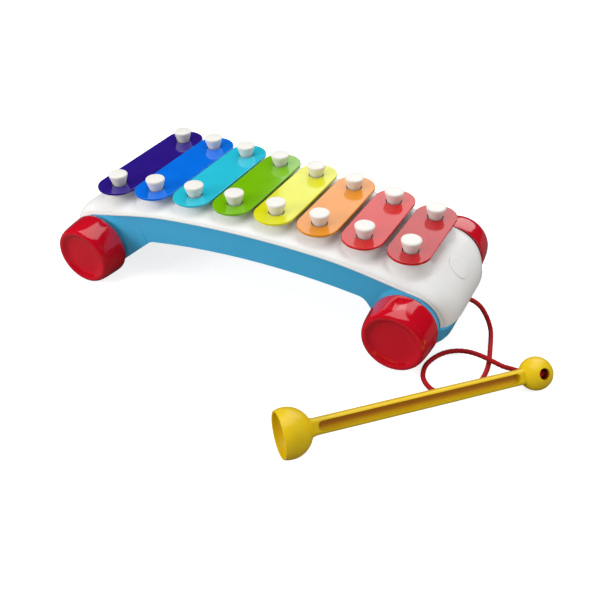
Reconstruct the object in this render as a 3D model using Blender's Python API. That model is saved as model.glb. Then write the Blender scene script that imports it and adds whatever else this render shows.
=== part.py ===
"""Pull-along toy xylophone with a corded mallet, built as it comes apart on a bench.

Run with: blender --background --python part.py
Lengths are metres and +Z is up. The body lies along X, from its wide low end at -X to its
narrow high end, the nose, at +X, and the bars run along Y. The origin ends up on the floor,
under the middle of the box round the toy and its mallet.
"""

import math

import bmesh
import bpy
from mathutils import Matrix, Vector

# Running gear
AXLE_SPACING = 0.2411
WHEEL_RADIUS = 0.02415
WHEEL_TREAD_LAND = 0.0020
WHEEL_SHOULDER_RADIUS = 0.0232
WHEEL_SHOULDER_DEPTH = 0.0075
WHEEL_FACE_RADIUS = 0.0209
WHEEL_WIDTH = 0.0214
WHEEL_WALL = 0.0024
WHEEL_DISH_RIM = 0.0013
WHEEL_DISH_DEPTH = 0.0012
HUB_RADIUS = 0.0052
HUB_PROUD = 0.0005
AXLE_RADIUS = 0.0020
AXLE_HUB_DEPTH = 0.0140
TRACK_LOW_END = 0.1267
TRACK_NOSE_END = 0.0941
WHEEL_SIDES = 24

# Clearances that the whole toy shares
SEAT_GAP = 0.0003
RUNNING_GAP = 0.0003
WHEEL_GAP = 0.0010
CUT_OVERRUN = 0.0020

# Bars, and the arch that their tops follow
BAR_COUNT = 8
BAR_PITCH = 0.0320
BAR_WIDTH = 0.0296
BAR_THICKNESS = 0.0018
BAR_OVERHANG = 0.0163
BAR_ARCH_RADIUS = 1.1660
BARS_ABOVE_DECK = 0.0079
BAR_HOLE_RADIUS = 0.0056
PEG_SPREAD_LOW = 0.0820
PEG_SPREAD_HIGH = 0.0462
PEG_SPREAD_BOW = 0.0016

# Pegs and the cushions under the bars
PEG_STAND = 0.0083
PEG_HEAD_RADIUS = 0.0069
PEG_HEAD_THICKNESS = 0.0017
PEG_HEAD_CHAMFER = 0.0007
PEG_NECK_RADIUS = 0.0049
PEG_NECK_RISE = 0.0064
PEG_STEM_RADIUS = 0.0046
PEG_PIN_RADIUS = 0.0024
PEG_PIN_LENGTH = 0.0070
CUSHION_THICKNESS = 0.0016
CUSHION_RADIUS = 0.0100
CUSHION_HOLE_RADIUS = 0.0054
PEG_SIDES = 10
CUSHION_SIDES = 8

# Lid: the white top shell
DECK_ARCH_RISE = 0.0103
LID_END_RADIUS = 0.0302
LID_END_ANGLE = math.radians(2)
LID_WALL = 0.0024
LID_INSET = 0.0040
SHOULDER_WIDTH_MID = 0.0090
SHOULDER_WIDTH_END = 0.0140
LID_DROP_MID = 0.0046
LID_DROP_END = 0.0080
DROP_STARTS_AT = 0.0600
DROP_ENDS_AT = 0.1350
LID_CORNER_ACROSS = 0.0100
LID_CORNER_ALONG = 0.0160
LIP_HEIGHT = 0.0012
LIP_PROUD = 0.0006
PEDESTAL_RADIUS = 0.0122
PEDESTAL_FOOT_RADIUS = 0.0146
PEDESTAL_SIDES = 10
PEG_BOSS_RADIUS = 0.0050
ARCH_STATIONS = 12
END_STATIONS = 6
SHOULDER_STEPS = 3
INNER_SHOULDER_STEPS = 2

# Chassis: the blue underbody
CHASSIS_INSET = 0.0055
CHASSIS_WALL = 0.0024
CHASSIS_END_RADIUS = 0.0287
CHASSIS_LIP_ANGLE = math.radians(-5)
CHASSIS_LIP_ROUNDING = 0.0070
CORNER_ACROSS = 0.0110
CORNER_ALONG = 0.0130
UNDERSIDE_BELOW_DECK = 0.0247
UNDERSIDE_RADIUS = 0.5450
KNEE_LOW_END = -0.0780
KNEE_NOSE_END = 0.0900
KNEE_FILLET = 0.0100
BOSS_RADIUS = 0.0200
BOSS_EDGE = 0.0008
FLARE_REACH = 0.0200
FLARE_DEPTH = 0.0060
FLARE_STEPS = 4
FLARE_SIDES = 20
TUNNEL_RADIUS = 0.0050
TUNNEL_WEB = 0.0022

# Screws that hold the lid down
SCREW_SPREAD_X = 0.0640
SCREW_SPREAD_Y = 0.0190
SCREW_SEAT_ABOVE_UNDERSIDE = 0.0062
SCREW_HEAD_RADIUS = 0.0030
SCREW_HEAD_HEIGHT = 0.0020
SCREW_RADIUS = 0.0014
SCREW_LENGTH = 0.0110
SCREW_WELL_RADIUS = 0.0038
SCREW_WELL_WALL = 0.0016
SCREW_PLATE = 0.0022
LID_POST_RADIUS = 0.0042
SCREW_SIDES = 8

# Mallet: a round cup, a grooved shaft and a ball, in one moulding
MALLET_LENGTH = 0.1707
BALL_RADIUS = 0.0108
CUP_RADIUS = 0.0152
CUP_RIM_TUCK = 0.0009
CUP_RIM_RADIUS = CUP_RADIUS - CUP_RIM_TUCK
CUP_WALL = 0.0013
CUP_FLOOR = 0.0035
NECK_RADIUS = 0.0056
NECK_FILLET = 0.0026
SHAFT_HEIGHT = 0.0100
SHAFT_THICKNESS = 0.0082
SHAFT_ROUNDING = 0.0024
GROOVE_HEIGHT = 0.0060
GROOVE_WEB = 0.0024
GROOVE_FROM_RIM = 0.0275
GROOVE_FROM_BALL = 0.0130
KNOT_POCKET_PAST_CENTRE = 0.0010
MALLET_SIDES = 20
BAR_END_STEPS = 8
BALL_X = 0.2071
BALL_Y = -0.0374
MALLET_HEADING = math.radians(227.0)
MALLET_ROLL = math.radians(39.0)

# Cord: a limp braided cord from the nose to the mallet's ball
CORD_DIAMETER = 0.0034
CORD_HOLE_GAP = 0.00035
CORD_EXIT_HEIGHT = 0.0240
CORD_SAMPLES = 36
KNOT_RADIUS = 0.0034
KNOT_SET_BACK = 0.0012

# The cord's lie between its two holes, in metres, chosen by hand
CORD_ROUTE = [
    (0.1535, 0.0000, 0.0234),
    (0.1570, 0.0000, 0.0216),
    (0.1604, 0.0000, 0.0181),
    (0.1636, 0.0000, 0.0134),
    (0.1664, -0.0003, 0.0082),
    (0.1686, -0.0024, 0.0044),
    (0.1703, -0.0068, 0.0022),
    (0.1722, -0.0139, 0.0018),
    (0.1740, -0.0210, 0.0018),
    (0.1767, -0.0332, 0.0018),
    (0.1773, -0.0450, 0.0018),
    (0.1756, -0.0555, 0.0018),
    (0.1704, -0.0637, 0.0018),
    (0.1627, -0.0708, 0.0018),
    (0.1557, -0.0733, 0.0018),
    (0.1508, -0.0719, 0.0018),
    (0.1459, -0.0687, 0.0018),
    (0.1422, -0.0632, 0.0018),
    (0.1404, -0.0540, 0.0018),
    (0.1424, -0.0444, 0.0018),
    (0.1472, -0.0361, 0.0022),
    (0.1542, -0.0314, 0.0032),
    (0.1618, -0.0302, 0.0045),
    (0.1700, -0.0313, 0.0056),
    (0.1781, -0.0329, 0.0056),
    (0.1850, -0.0327, 0.0039),
    (0.1905, -0.0305, 0.0021),
    (0.1952, -0.0298, 0.0018),
    (0.1961, -0.0299, 0.0018),
    (0.1984, -0.0304, 0.0023),
    (0.2000, -0.0312, 0.0032),
]

# Colours and finish, as read from the toy: red, green, blue, roughness, metallic
FINISHES = {
    "white_plastic": (0.86, 0.86, 0.84, 0.30, 0.0),
    "blue_plastic": (0.07, 0.38, 0.66, 0.35, 0.0),
    "red_plastic": (0.62, 0.01, 0.02, 0.15, 0.0),
    "yellow_plastic": (0.80, 0.62, 0.02, 0.25, 0.0),
    "peg_plastic": (0.90, 0.89, 0.84, 0.40, 0.0),
    "cushion_foam": (0.78, 0.73, 0.60, 0.90, 0.0),
    "red_cord": (0.42, 0.01, 0.02, 0.80, 0.0),
    "steel": (0.60, 0.60, 0.62, 0.30, 1.0),
    "bar_violet": (0.03, 0.01, 0.22, 0.20, 0.3),
    "bar_blue": (0.00, 0.16, 0.83, 0.20, 0.3),
    "bar_cyan": (0.02, 0.54, 0.72, 0.20, 0.3),
    "bar_green": (0.20, 0.50, 0.00, 0.20, 0.3),
    "bar_yellow": (0.83, 0.82, 0.04, 0.20, 0.3),
    "bar_orange": (0.90, 0.32, 0.02, 0.20, 0.3),
    "bar_coral": (0.75, 0.05, 0.04, 0.20, 0.3),
    "bar_red": (0.60, 0.01, 0.02, 0.20, 0.3),
}
BAR_COLOURS = ["violet", "blue", "cyan", "green", "yellow", "orange", "coral", "red"]

# Places worked out from the sizes above
AXLE_HEIGHT = WHEEL_RADIUS * math.cos(math.pi / WHEEL_SIDES)
HALF_SPACING = AXLE_SPACING / 2
DECK_CROWN_HEIGHT = AXLE_HEIGHT + LID_END_RADIUS + DECK_ARCH_RISE
BAR_CROWN_HEIGHT = DECK_CROWN_HEIGHT + BARS_ABOVE_DECK
UNDERSIDE_CROWN_HEIGHT = DECK_CROWN_HEIGHT - UNDERSIDE_BELOW_DECK
SCREW_SEAT_HEIGHT = UNDERSIDE_CROWN_HEIGHT + SCREW_SEAT_ABOVE_UNDERSIDE
DECK_RISE = DECK_CROWN_HEIGHT - AXLE_HEIGHT
DECK_ARCH_RADIUS = (HALF_SPACING**2 + DECK_RISE**2 - LID_END_RADIUS**2) / (
    2 * (DECK_RISE - LID_END_RADIUS)
)
DECK_ARCH_ANGLE = math.atan2(HALF_SPACING, DECK_ARCH_RADIUS - DECK_RISE)
BAR_UNDERSIDE = -BAR_THICKNESS
CUSHION_TOP = BAR_UNDERSIDE - SEAT_GAP
CUSHION_BOTTOM = CUSHION_TOP - CUSHION_THICKNESS
PEDESTAL_TOP = CUSHION_BOTTOM - SEAT_GAP
PEG_SHOULDER = PEDESTAL_TOP + SEAT_GAP
PEG_PIN_END = PEG_SHOULDER - PEG_PIN_LENGTH
PEG_BOSS_END = PEG_PIN_END + SEAT_GAP
KNEE_MIDDLE = (KNEE_LOW_END + KNEE_NOSE_END) / 2


def hole_radius(shaft_radius, gap):
    """The corner radius of a faceted hole that clears a round shaft by the gap at its flats."""
    return (shaft_radius + gap) / math.cos(math.pi / SCREW_SIDES)


def clear_scene():
    for obj in list(bpy.data.objects):
        bpy.data.objects.remove(obj)


def material(name):
    """The Principled material of one finish, made once."""
    found = bpy.data.materials.get(name)
    if found:
        return found
    red, green, blue, roughness, metallic = FINISHES[name]
    made = bpy.data.materials.new(name)
    made.use_nodes = True
    shader = made.node_tree.nodes["Principled BSDF"]
    shader.inputs["Base Color"].default_value = (red, green, blue, 1)
    shader.inputs["Roughness"].default_value = roughness
    shader.inputs["Metallic"].default_value = metallic
    made.diffuse_color = (red, green, blue, 1)
    return made


def add_object(name, mesh, finish=None, place=Matrix()):
    obj = bpy.data.objects.new(name, mesh)
    bpy.context.scene.collection.objects.link(obj)
    obj.matrix_world = place
    if finish and not mesh.materials:
        mesh.materials.append(material(finish))
    return obj


def finish_mesh(name, bm, smooth_angle=math.radians(35)):
    """Closes a bmesh into a mesh that faces out and is smooth between its sharp edges."""
    bmesh.ops.recalc_face_normals(bm, faces=bm.faces)
    mesh = bpy.data.meshes.new(name)
    bm.to_mesh(mesh)
    bm.free()
    mesh.shade_smooth()
    mesh.set_sharp_from_angle(angle=smooth_angle)
    return mesh


def add_loop(bm, points):
    """A closed ring of edges through the points."""
    verts = [bm.verts.new(point) for point in points]
    return [bm.edges.new((a, b)) for a, b in zip(verts, verts[1:] + verts[:1])]


def add_prism(bm, outline, offset):
    """A solid made by extruding a closed outline along one vector."""
    edges = add_loop(bm, outline)
    face = bmesh.ops.contextual_create(bm, geom=edges)["faces"]
    extruded = bmesh.ops.extrude_face_region(bm, geom=face, use_keep_orig=True)
    moved = [item for item in extruded["geom"] if isinstance(item, bmesh.types.BMVert)]
    bmesh.ops.translate(bm, verts=moved, vec=offset)


def add_turned(bm, profile, sides, place=Matrix()):
    """A solid of revolution about Z. The profile holds (radius, height) and starts and ends on the axis."""
    turn = Matrix.Rotation(math.pi / sides, 4, "Z")
    verts = [bm.verts.new(place @ turn @ Vector((r, 0, h))) for r, h in profile]
    edges = [bm.edges.new(pair) for pair in zip(verts, verts[1:])]
    made = bmesh.ops.spin(
        bm,
        geom=verts + edges,
        cent=place.translation,
        axis=place.to_3x3() @ Vector((0, 0, 1)),
        angle=2 * math.pi,
        steps=sides,
        use_merge=True,
    )
    ends = [item for item in made["geom_last"] if isinstance(item, bmesh.types.BMVert)]
    bmesh.ops.remove_doubles(bm, verts=bm.verts, dist=SEAT_GAP / 100)
    return ends


def add_tube_ring(bm, outer, inner, low, high, sides, place=Matrix()):
    """A straight ring, such as a washer."""
    profile = [(inner, low), (outer, low), (outer, high), (inner, high)]
    rings = []
    for step in range(sides):
        turn = Matrix.Rotation(2 * math.pi * (step + 0.5) / sides, 4, "Z")
        rings.append(add_loop(bm, [place @ turn @ Vector((r, 0, h)) for r, h in profile]))
    for first, second in zip(rings, rings[1:] + rings[:1]):
        bmesh.ops.bridge_loops(bm, edges=first + second)


def turned_mesh(name, profile, sides):
    bm = bmesh.new()
    add_turned(bm, profile, sides)
    return finish_mesh(name, bm)


def helper_object(name, bm, place=Matrix()):
    """A cutter, or a piece that is joined into another, which a render leaves out."""
    obj = add_object(name, finish_mesh(name, bm), place=place)
    obj.hide_render = True
    obj.display_type = "WIRE"
    return obj


def boolean(obj, operation, other):
    modifier = obj.modifiers.new(f"{operation.lower()} {other.name}", "BOOLEAN")
    modifier.operation = operation
    modifier.solver = "EXACT"
    modifier.object = other


def smooth_share(value, low, high):
    """Eases from 0 at low to 1 at high."""
    share = min(max((value - low) / (high - low), 0), 1)
    return share * share * (3 - 2 * share)


def rim_line(x):
    """Half the distance between the wheels' inner rims, at x along the tapered body."""
    share = (x + HALF_SPACING) / AXLE_SPACING
    return (TRACK_LOW_END + (TRACK_NOSE_END - TRACK_LOW_END) * share) / 2


def deck_stations():
    """Points and outward normals along the deck's side view, from the low end to the nose."""
    centre_z = DECK_CROWN_HEIGHT - DECK_ARCH_RADIUS
    last = math.pi / 2 - LID_END_ANGLE
    stations = []
    for step in range(END_STATIONS):
        angle = -last + (last - DECK_ARCH_ANGLE) * step / END_STATIONS
        stations.append((-HALF_SPACING, AXLE_HEIGHT, LID_END_RADIUS, angle))
    for step in range(ARCH_STATIONS + 1):
        angle = DECK_ARCH_ANGLE * (2 * step / ARCH_STATIONS - 1)
        stations.append((0, centre_z, DECK_ARCH_RADIUS, angle))
    for step in range(1, END_STATIONS + 1):
        angle = DECK_ARCH_ANGLE + (last - DECK_ARCH_ANGLE) * step / END_STATIONS
        stations.append((HALF_SPACING, AXLE_HEIGHT, LID_END_RADIUS, angle))
    places = []
    for x, z, radius, angle in stations:
        normal = Vector((math.sin(angle), 0, math.cos(angle)))
        places.append((Vector((x, 0, z)) + normal * radius, normal))
    return places


def lid_drop(x):
    """How far the lid's lip hangs below the middle of the deck."""
    share = smooth_share(abs(x), DROP_STARTS_AT, DROP_ENDS_AT)
    return LID_DROP_MID + (LID_DROP_END - LID_DROP_MID) * share


def lid_corner(x):
    """How much the lid draws in at x, to round its corners as seen from above."""
    start = HALF_SPACING + LID_END_RADIUS - LID_CORNER_ALONG
    share = min(max((abs(x) - start) / LID_CORNER_ALONG, 0), 1)
    return LID_CORNER_ACROSS * (1 - math.sqrt(1 - share * share))


def lid_section(x):
    """The lid's cross-section at x, as (sideways, depth below the deck) pairs."""
    half = rim_line(x) - LID_INSET - LIP_PROUD
    share = smooth_share(abs(x), DROP_STARTS_AT, DROP_ENDS_AT)
    width = SHOULDER_WIDTH_MID + (SHOULDER_WIDTH_END - SHOULDER_WIDTH_MID) * share
    drop = lid_drop(x)
    fall = drop - LIP_HEIGHT
    outer = []
    for step in range(SHOULDER_STEPS + 1):
        angle = math.pi / 2 * step / SHOULDER_STEPS
        outer.append((half - width * (1 - math.sin(angle)), fall * (1 - math.cos(angle))))
    outer += [(half + LIP_PROUD, fall), (half + LIP_PROUD, drop)]
    inner = []
    for step in range(INNER_SHOULDER_STEPS, -1, -1):
        angle = math.pi / 2 * step / INNER_SHOULDER_STEPS
        side = half - width + (width - LID_WALL) * math.sin(angle)
        inner.append((side, LID_WALL + (drop - LID_WALL) * (1 - math.cos(angle))))
    right = outer + inner
    left = [(-side, depth) for side, depth in reversed(right)]
    return right + left


def swept_lid():
    """The lid's skin: its cross-section carried along the deck, closed at both ends."""
    bm = bmesh.new()
    rings = []
    for point, normal in deck_stations():
        ring = []
        for side, depth in lid_section(point.x):
            place = point - normal * depth
            drawn_in = math.copysign(lid_corner(place.x), side)
            ring.append(place + Vector((0, side - drawn_in, 0)))
        rings.append(add_loop(bm, ring))
    for first, second in zip(rings, rings[1:]):
        bmesh.ops.bridge_loops(bm, edges=first + second)
    for ring in (rings[0], rings[-1]):
        bmesh.ops.contextual_create(bm, geom=ring)
    return finish_mesh("lid", bm)


def bar_place(index):
    """The middle of a bar's top face. The bars lie level and step along the arch."""
    x = (index - (BAR_COUNT - 1) / 2) * BAR_PITCH
    z = BAR_CROWN_HEIGHT - BAR_ARCH_RADIUS + math.sqrt(BAR_ARCH_RADIUS**2 - x**2)
    return Matrix.Translation((x, 0, z))


def peg_offset(index):
    """Half the distance between the two pegs of a bar."""
    share = index / (BAR_COUNT - 1)
    straight = PEG_SPREAD_LOW + (PEG_SPREAD_HIGH - PEG_SPREAD_LOW) * share
    return (straight - PEG_SPREAD_BOW * 4 * share * (1 - share)) / 2


def peg_places():
    """Each peg's place, as (row name, bar number, matrix)."""
    places = []
    for row, side in (("front", -1), ("back", 1)):
        for index in range(BAR_COUNT):
            shift = Matrix.Translation((0, side * peg_offset(index), 0))
            places.append((row, index, bar_place(index) @ shift))
    return places


def pedestal_foot(index):
    """How deep under its bar's top a pedestal reaches, which is inside the lid's wall all round."""
    place = bar_place(index).translation
    slope_drop = PEDESTAL_FOOT_RADIUS * abs(place.x) / DECK_ARCH_RADIUS
    return deck_height(place.x) - place.z - LID_WALL / 2 - slope_drop


def pedestal_profile(index):
    """The raised island under a bar's end."""
    foot = pedestal_foot(index)
    return [(0, PEDESTAL_TOP), (PEDESTAL_RADIUS, PEDESTAL_TOP), (PEDESTAL_FOOT_RADIUS, foot), (0, foot)]


def boss_profile(index):
    """The boss inside the lid that a peg's pin is pressed into."""
    top = pedestal_foot(index) + LID_WALL / 2
    return [(0, top), (PEG_BOSS_RADIUS, top), (PEG_BOSS_RADIUS, PEG_BOSS_END), (0, PEG_BOSS_END)]


def screw_places():
    return [
        (x * SCREW_SPREAD_X, y * SCREW_SPREAD_Y)
        for x in (-1, 0, 1)
        for y in (-1, 1)
    ]


def deck_height(x):
    """The deck's height over the arched stretch between the axles."""
    rise = math.sqrt(DECK_ARCH_RADIUS**2 - x**2)
    return DECK_CROWN_HEIGHT - DECK_ARCH_RADIUS + rise


def add_cord_hole(bm):
    """The cord's way out of the nose, on the line where the lid meets the chassis."""
    nose_x = HALF_SPACING + CHASSIS_END_RADIUS
    reach = CHASSIS_WALL + CUT_OVERRUN
    radius = hole_radius(CORD_DIAMETER / 2, CORD_HOLE_GAP)
    profile = [(0, reach), (radius, reach), (radius, -reach), (0, -reach)]
    turn = Matrix.Rotation(math.pi / 2, 4, "Y")
    add_turned(bm, profile, SCREW_SIDES, Matrix.Translation((nose_x, 0, CORD_EXIT_HEIGHT)) @ turn)


def make_lid():
    lid = add_object("lid", swept_lid(), "white_plastic")
    bm = bmesh.new()
    for _, index, place in peg_places():
        add_turned(bm, pedestal_profile(index), PEDESTAL_SIDES, place)
    boolean(lid, "UNION", helper_object("lid pedestals", bm))
    bm = bmesh.new()
    for _, index, place in peg_places():
        add_turned(bm, boss_profile(index), SCREW_SIDES, place)
    post_foot = SCREW_SEAT_HEIGHT + SCREW_PLATE + SEAT_GAP
    for x, y in screw_places():
        top = deck_height(x) - LID_WALL / 2
        profile = [(0, top), (LID_POST_RADIUS, top), (LID_POST_RADIUS, post_foot), (0, post_foot)]
        add_turned(bm, profile, SCREW_SIDES, Matrix.Translation((x, y, 0)))
    boolean(lid, "UNION", helper_object("lid bosses", bm))
    bm = bmesh.new()
    pin_hole = hole_radius(PEG_PIN_RADIUS, SEAT_GAP)
    peg_hole = [
        (0, PEDESTAL_TOP + CUT_OVERRUN),
        (pin_hole, PEDESTAL_TOP + CUT_OVERRUN),
        (pin_hole, PEG_BOSS_END - CUT_OVERRUN),
        (0, PEG_BOSS_END - CUT_OVERRUN),
    ]
    for _, _, place in peg_places():
        add_turned(bm, peg_hole, SCREW_SIDES, place)
    screw_end = SCREW_SEAT_HEIGHT + SCREW_LENGTH + SEAT_GAP
    radius = hole_radius(SCREW_RADIUS, SEAT_GAP)
    screw_hole = [(0, screw_end), (radius, screw_end), (radius, SCREW_SEAT_HEIGHT), (0, SCREW_SEAT_HEIGHT)]
    for x, y in screw_places():
        add_turned(bm, screw_hole, SCREW_SIDES, Matrix.Translation((x, y, 0)))
    add_cord_hole(bm)
    boolean(lid, "DIFFERENCE", helper_object("lid holes", bm))


def bar_mesh(index):
    """A flat bar with round ends and a clear hole over each peg."""
    bm = bmesh.new()
    reach = peg_offset(index) + BAR_OVERHANG
    radius = BAR_WIDTH / 2
    outline = []
    for end in (1, -1):
        for step in range(BAR_END_STEPS + 1):
            angle = math.pi * (step / BAR_END_STEPS + (0 if end > 0 else 1))
            y = end * (reach - radius) + radius * math.sin(angle)
            outline.append(Vector((radius * math.cos(angle), y, 0)))
    add_prism(bm, outline, Vector((0, 0, -BAR_THICKNESS)))
    return finish_mesh(f"bar {index + 1}", bm)


def make_bars():
    for index, colour in enumerate(BAR_COLOURS):
        place = bar_place(index)
        bar = add_object(f"bar_{index + 1}_{colour}", bar_mesh(index), f"bar_{colour}", place)
        bm = bmesh.new()
        hole = [
            (0, CUT_OVERRUN),
            (BAR_HOLE_RADIUS, CUT_OVERRUN),
            (BAR_HOLE_RADIUS, -BAR_THICKNESS - CUT_OVERRUN),
            (0, -BAR_THICKNESS - CUT_OVERRUN),
        ]
        for side in (-1, 1):
            add_turned(bm, hole, PEG_SIDES, Matrix.Translation((0, side * peg_offset(index), 0)))
        boolean(bar, "DIFFERENCE", helper_object(f"bar {index + 1} holes", bm, place))


def make_pegs():
    """Each peg stands through its bar with room to spare, on a pin in the lid."""
    head_foot = PEG_STAND - PEG_HEAD_THICKNESS
    profile = [
        (0, PEG_STAND),
        (PEG_HEAD_RADIUS - PEG_HEAD_CHAMFER, PEG_STAND),
        (PEG_HEAD_RADIUS, PEG_STAND - PEG_HEAD_CHAMFER),
        (PEG_HEAD_RADIUS, head_foot),
        (PEG_NECK_RADIUS, head_foot - PEG_NECK_RISE),
        (PEG_STEM_RADIUS, head_foot - PEG_NECK_RISE),
        (PEG_STEM_RADIUS, PEG_SHOULDER),
        (PEG_PIN_RADIUS, PEG_SHOULDER),
        (PEG_PIN_RADIUS, PEG_PIN_END),
        (0, PEG_PIN_END),
    ]
    peg = turned_mesh("peg", profile, PEG_SIDES)
    bm = bmesh.new()
    add_tube_ring(bm, CUSHION_RADIUS, CUSHION_HOLE_RADIUS, CUSHION_BOTTOM, CUSHION_TOP, CUSHION_SIDES)
    cushion = finish_mesh("cushion", bm)
    for row, index, place in peg_places():
        add_object(f"peg_{row}_{index + 1}", peg, "peg_plastic", place)
        add_object(f"cushion_{row}_{index + 1}", cushion, "cushion_foam", place)


def underside_height(x):
    rise = math.sqrt(UNDERSIDE_RADIUS**2 - (x - KNEE_MIDDLE) ** 2)
    return UNDERSIDE_CROWN_HEIGHT - UNDERSIDE_RADIUS + rise


def arc_points(centre, radius, start, end, steps):
    """Points on an arc, as (x, z), from one angle to the other."""
    points = []
    for step in range(steps + 1):
        angle = start + (end - start) * step / steps
        points.append((centre[0] + radius * math.cos(angle), centre[1] + radius * math.sin(angle)))
    return points


def tangent_angle(centre, radius, point, turn):
    """Where on a circle the straight line to a point outside it touches."""
    dx, dz = point[0] - centre[0], point[1] - centre[1]
    return math.atan2(dz, dx) + turn * math.acos(radius / math.hypot(dx, dz))


def rounded_knee(arch, knee, foot, radius):
    """Points that round the corner at the knee, between the arched underside and the leg."""
    knee = Vector(knee)
    to_arch = (Vector(arch) - knee).normalized()
    to_foot = (Vector(foot) - knee).normalized()
    half = to_arch.angle(to_foot) / 2
    away = radius / math.tan(half)
    centre = knee + (to_arch + to_foot).normalized() * radius / math.sin(half)
    spokes = [knee + toward * away - centre for toward in (to_arch, to_foot)]
    first, last = [math.atan2(spoke.y, spoke.x) for spoke in spokes]
    return arc_points(centre, radius, first, last, 4)


def leg_outline(side, wall):
    """One end of the chassis in side view, from the knee round the axle boss to the lip."""
    axle = (side * HALF_SPACING, AXLE_HEIGHT)
    knee_x = KNEE_NOSE_END if side > 0 else KNEE_LOW_END
    knee = (knee_x, underside_height(knee_x) + wall)
    arch_x = knee_x - side * KNEE_FILLET
    arch = (arch_x, underside_height(arch_x) + wall)
    boss = BOSS_RADIUS - wall
    end_radius = CHASSIS_END_RADIUS - wall
    rounding = CHASSIS_LIP_ROUNDING - wall
    to_lip = CHASSIS_END_RADIUS - CHASSIS_LIP_ROUNDING
    foot = CHASSIS_LIP_ANGLE - math.acos((BOSS_RADIUS - CHASSIS_LIP_ROUNDING) / to_lip)
    top_angle = LID_END_ANGLE - SEAT_GAP / CHASSIS_END_RADIUS
    inner = tangent_angle(axle, boss, knee, side)
    angles = [foot, CHASSIS_LIP_ANGLE, top_angle]
    if side < 0:
        angles = [math.pi - angle for angle in angles]
    lip = (
        axle[0] + to_lip * math.cos(angles[1]),
        axle[1] + to_lip * math.sin(angles[1]),
    )
    first = angles[0] + side * ((inner - angles[0]) * side % (2 * math.pi) - 2 * math.pi)
    boss_arc = arc_points(axle, boss, first, angles[0], 8)
    lip_arc = arc_points(lip, rounding, angles[0], angles[1], 3)
    end_arc = arc_points(axle, end_radius, angles[1], angles[2], 3)
    return rounded_knee(arch, knee, boss_arc[0], KNEE_FILLET) + boss_arc + lip_arc + end_arc[1:]


def parting_points(extra):
    """The chassis's top edge, just under the lid's lip, from the nose to the low end."""
    points = []
    for point, normal in reversed(deck_stations()):
        place = point - normal * (lid_drop(point.x) + extra)
        points.append((place.x, place.z))
    return points


def underside_points(wall, steps=9):
    """The arched underside between the knees' fillets, from the low end to the nose."""
    start = KNEE_LOW_END + 2 * KNEE_FILLET
    end = KNEE_NOSE_END - 2 * KNEE_FILLET
    xs = [start + (end - start) * step / steps for step in range(steps + 1)]
    return [(x, underside_height(x) + wall) for x in xs]


def side_outline(wall, top_drop):
    """The chassis in side view: underside, nose, top edge and low end."""
    nose = leg_outline(1, wall)
    low_end = leg_outline(-1, wall)
    return underside_points(wall) + nose + parting_points(top_drop) + list(reversed(low_end))


def plan_outline(side_inset, end_inset):
    """The chassis from above: two tapered sides and four rounded corners."""
    end_x = HALF_SPACING + CHASSIS_END_RADIUS - end_inset
    across = CORNER_ACROSS + CHASSIS_INSET - side_inset
    points = []
    for side_x, side_y in ((1, 1), (-1, 1), (-1, -1), (1, -1)):
        corner = []
        for step in range(5):
            angle = math.pi / 2 * step / 4
            x = side_x * (end_x - CORNER_ALONG * (1 - math.cos(angle)))
            half = rim_line(x) - side_inset
            corner.append((x, side_y * (half - across * (1 - math.sin(angle)))))
        if side_x * side_y < 0:
            corner.reverse()
        points += corner
    return points


def plan_prism(side_inset, end_inset):
    """A block as tall as the toy, with the plan outline drawn in by the two insets."""
    bm = bmesh.new()
    outline = [Vector((x, y, 0)) for x, y in plan_outline(side_inset, end_inset)]
    add_prism(bm, outline, Vector((0, 0, DECK_CROWN_HEIGHT + CUT_OVERRUN)))
    return bm


def side_prism(wall, top_drop, half_width):
    bm = bmesh.new()
    outline = [Vector((x, -half_width, z)) for x, z in side_outline(wall, top_drop)]
    add_prism(bm, outline, Vector((0, 2 * half_width, 0)))
    return bm


def facing(side, x, y):
    """A place with local Z pointing out along Y, on the given side of the toy."""
    turn = Matrix.Rotation(-side * math.pi / 2, 4, "X")
    return Matrix.Translation((x, side * y, AXLE_HEIGHT)) @ turn


def flare_profile():
    """The round boss behind a wheel, and the hollow curve by which the side wall rises to it."""
    face = -WHEEL_GAP
    deep = -CHASSIS_INSET - CHASSIS_WALL - FLARE_DEPTH
    profile = [(0, face), (BOSS_RADIUS - BOSS_EDGE, face)]
    for step in range(FLARE_STEPS + 1):
        share = step / FLARE_STEPS
        fall = FLARE_DEPTH * math.sin(math.pi / 2 * share)
        profile.append((BOSS_RADIUS + FLARE_REACH * share, face - BOSS_EDGE - fall))
    last_radius = profile[-1][0]
    return profile + [(last_radius, deep), (0, deep)]


def make_chassis():
    wide = TRACK_LOW_END
    block = finish_mesh("chassis", plan_prism(CHASSIS_INSET, 0))
    chassis = add_object("chassis", block, "blue_plastic")
    bm = bmesh.new()
    for x in (-HALF_SPACING, HALF_SPACING):
        for side in (-1, 1):
            add_turned(bm, flare_profile(), FLARE_SIDES, facing(side, x, rim_line(x)))
    boolean(chassis, "UNION", helper_object("chassis flares", bm))
    boolean(chassis, "INTERSECT", helper_object("chassis plan view", plan_prism(WHEEL_GAP / 2, 0)))
    outline = helper_object("chassis side view", side_prism(0, SEAT_GAP, wide))
    boolean(chassis, "INTERSECT", outline)

    walls = plan_prism(CHASSIS_INSET + CHASSIS_WALL, CHASSIS_WALL)
    hollow = helper_object("chassis hollow", walls)
    inner = helper_object("chassis inner view", side_prism(CHASSIS_WALL, -LID_DROP_END, wide))
    boolean(hollow, "INTERSECT", inner)
    boolean(chassis, "DIFFERENCE", hollow)

    boolean(chassis, "UNION", helper_object("chassis webs", chassis_webs()))
    boolean(chassis, "UNION", helper_object("chassis tunnels", chassis_tunnels()))
    boolean(chassis, "DIFFERENCE", helper_object("chassis holes", chassis_holes()))


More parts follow.
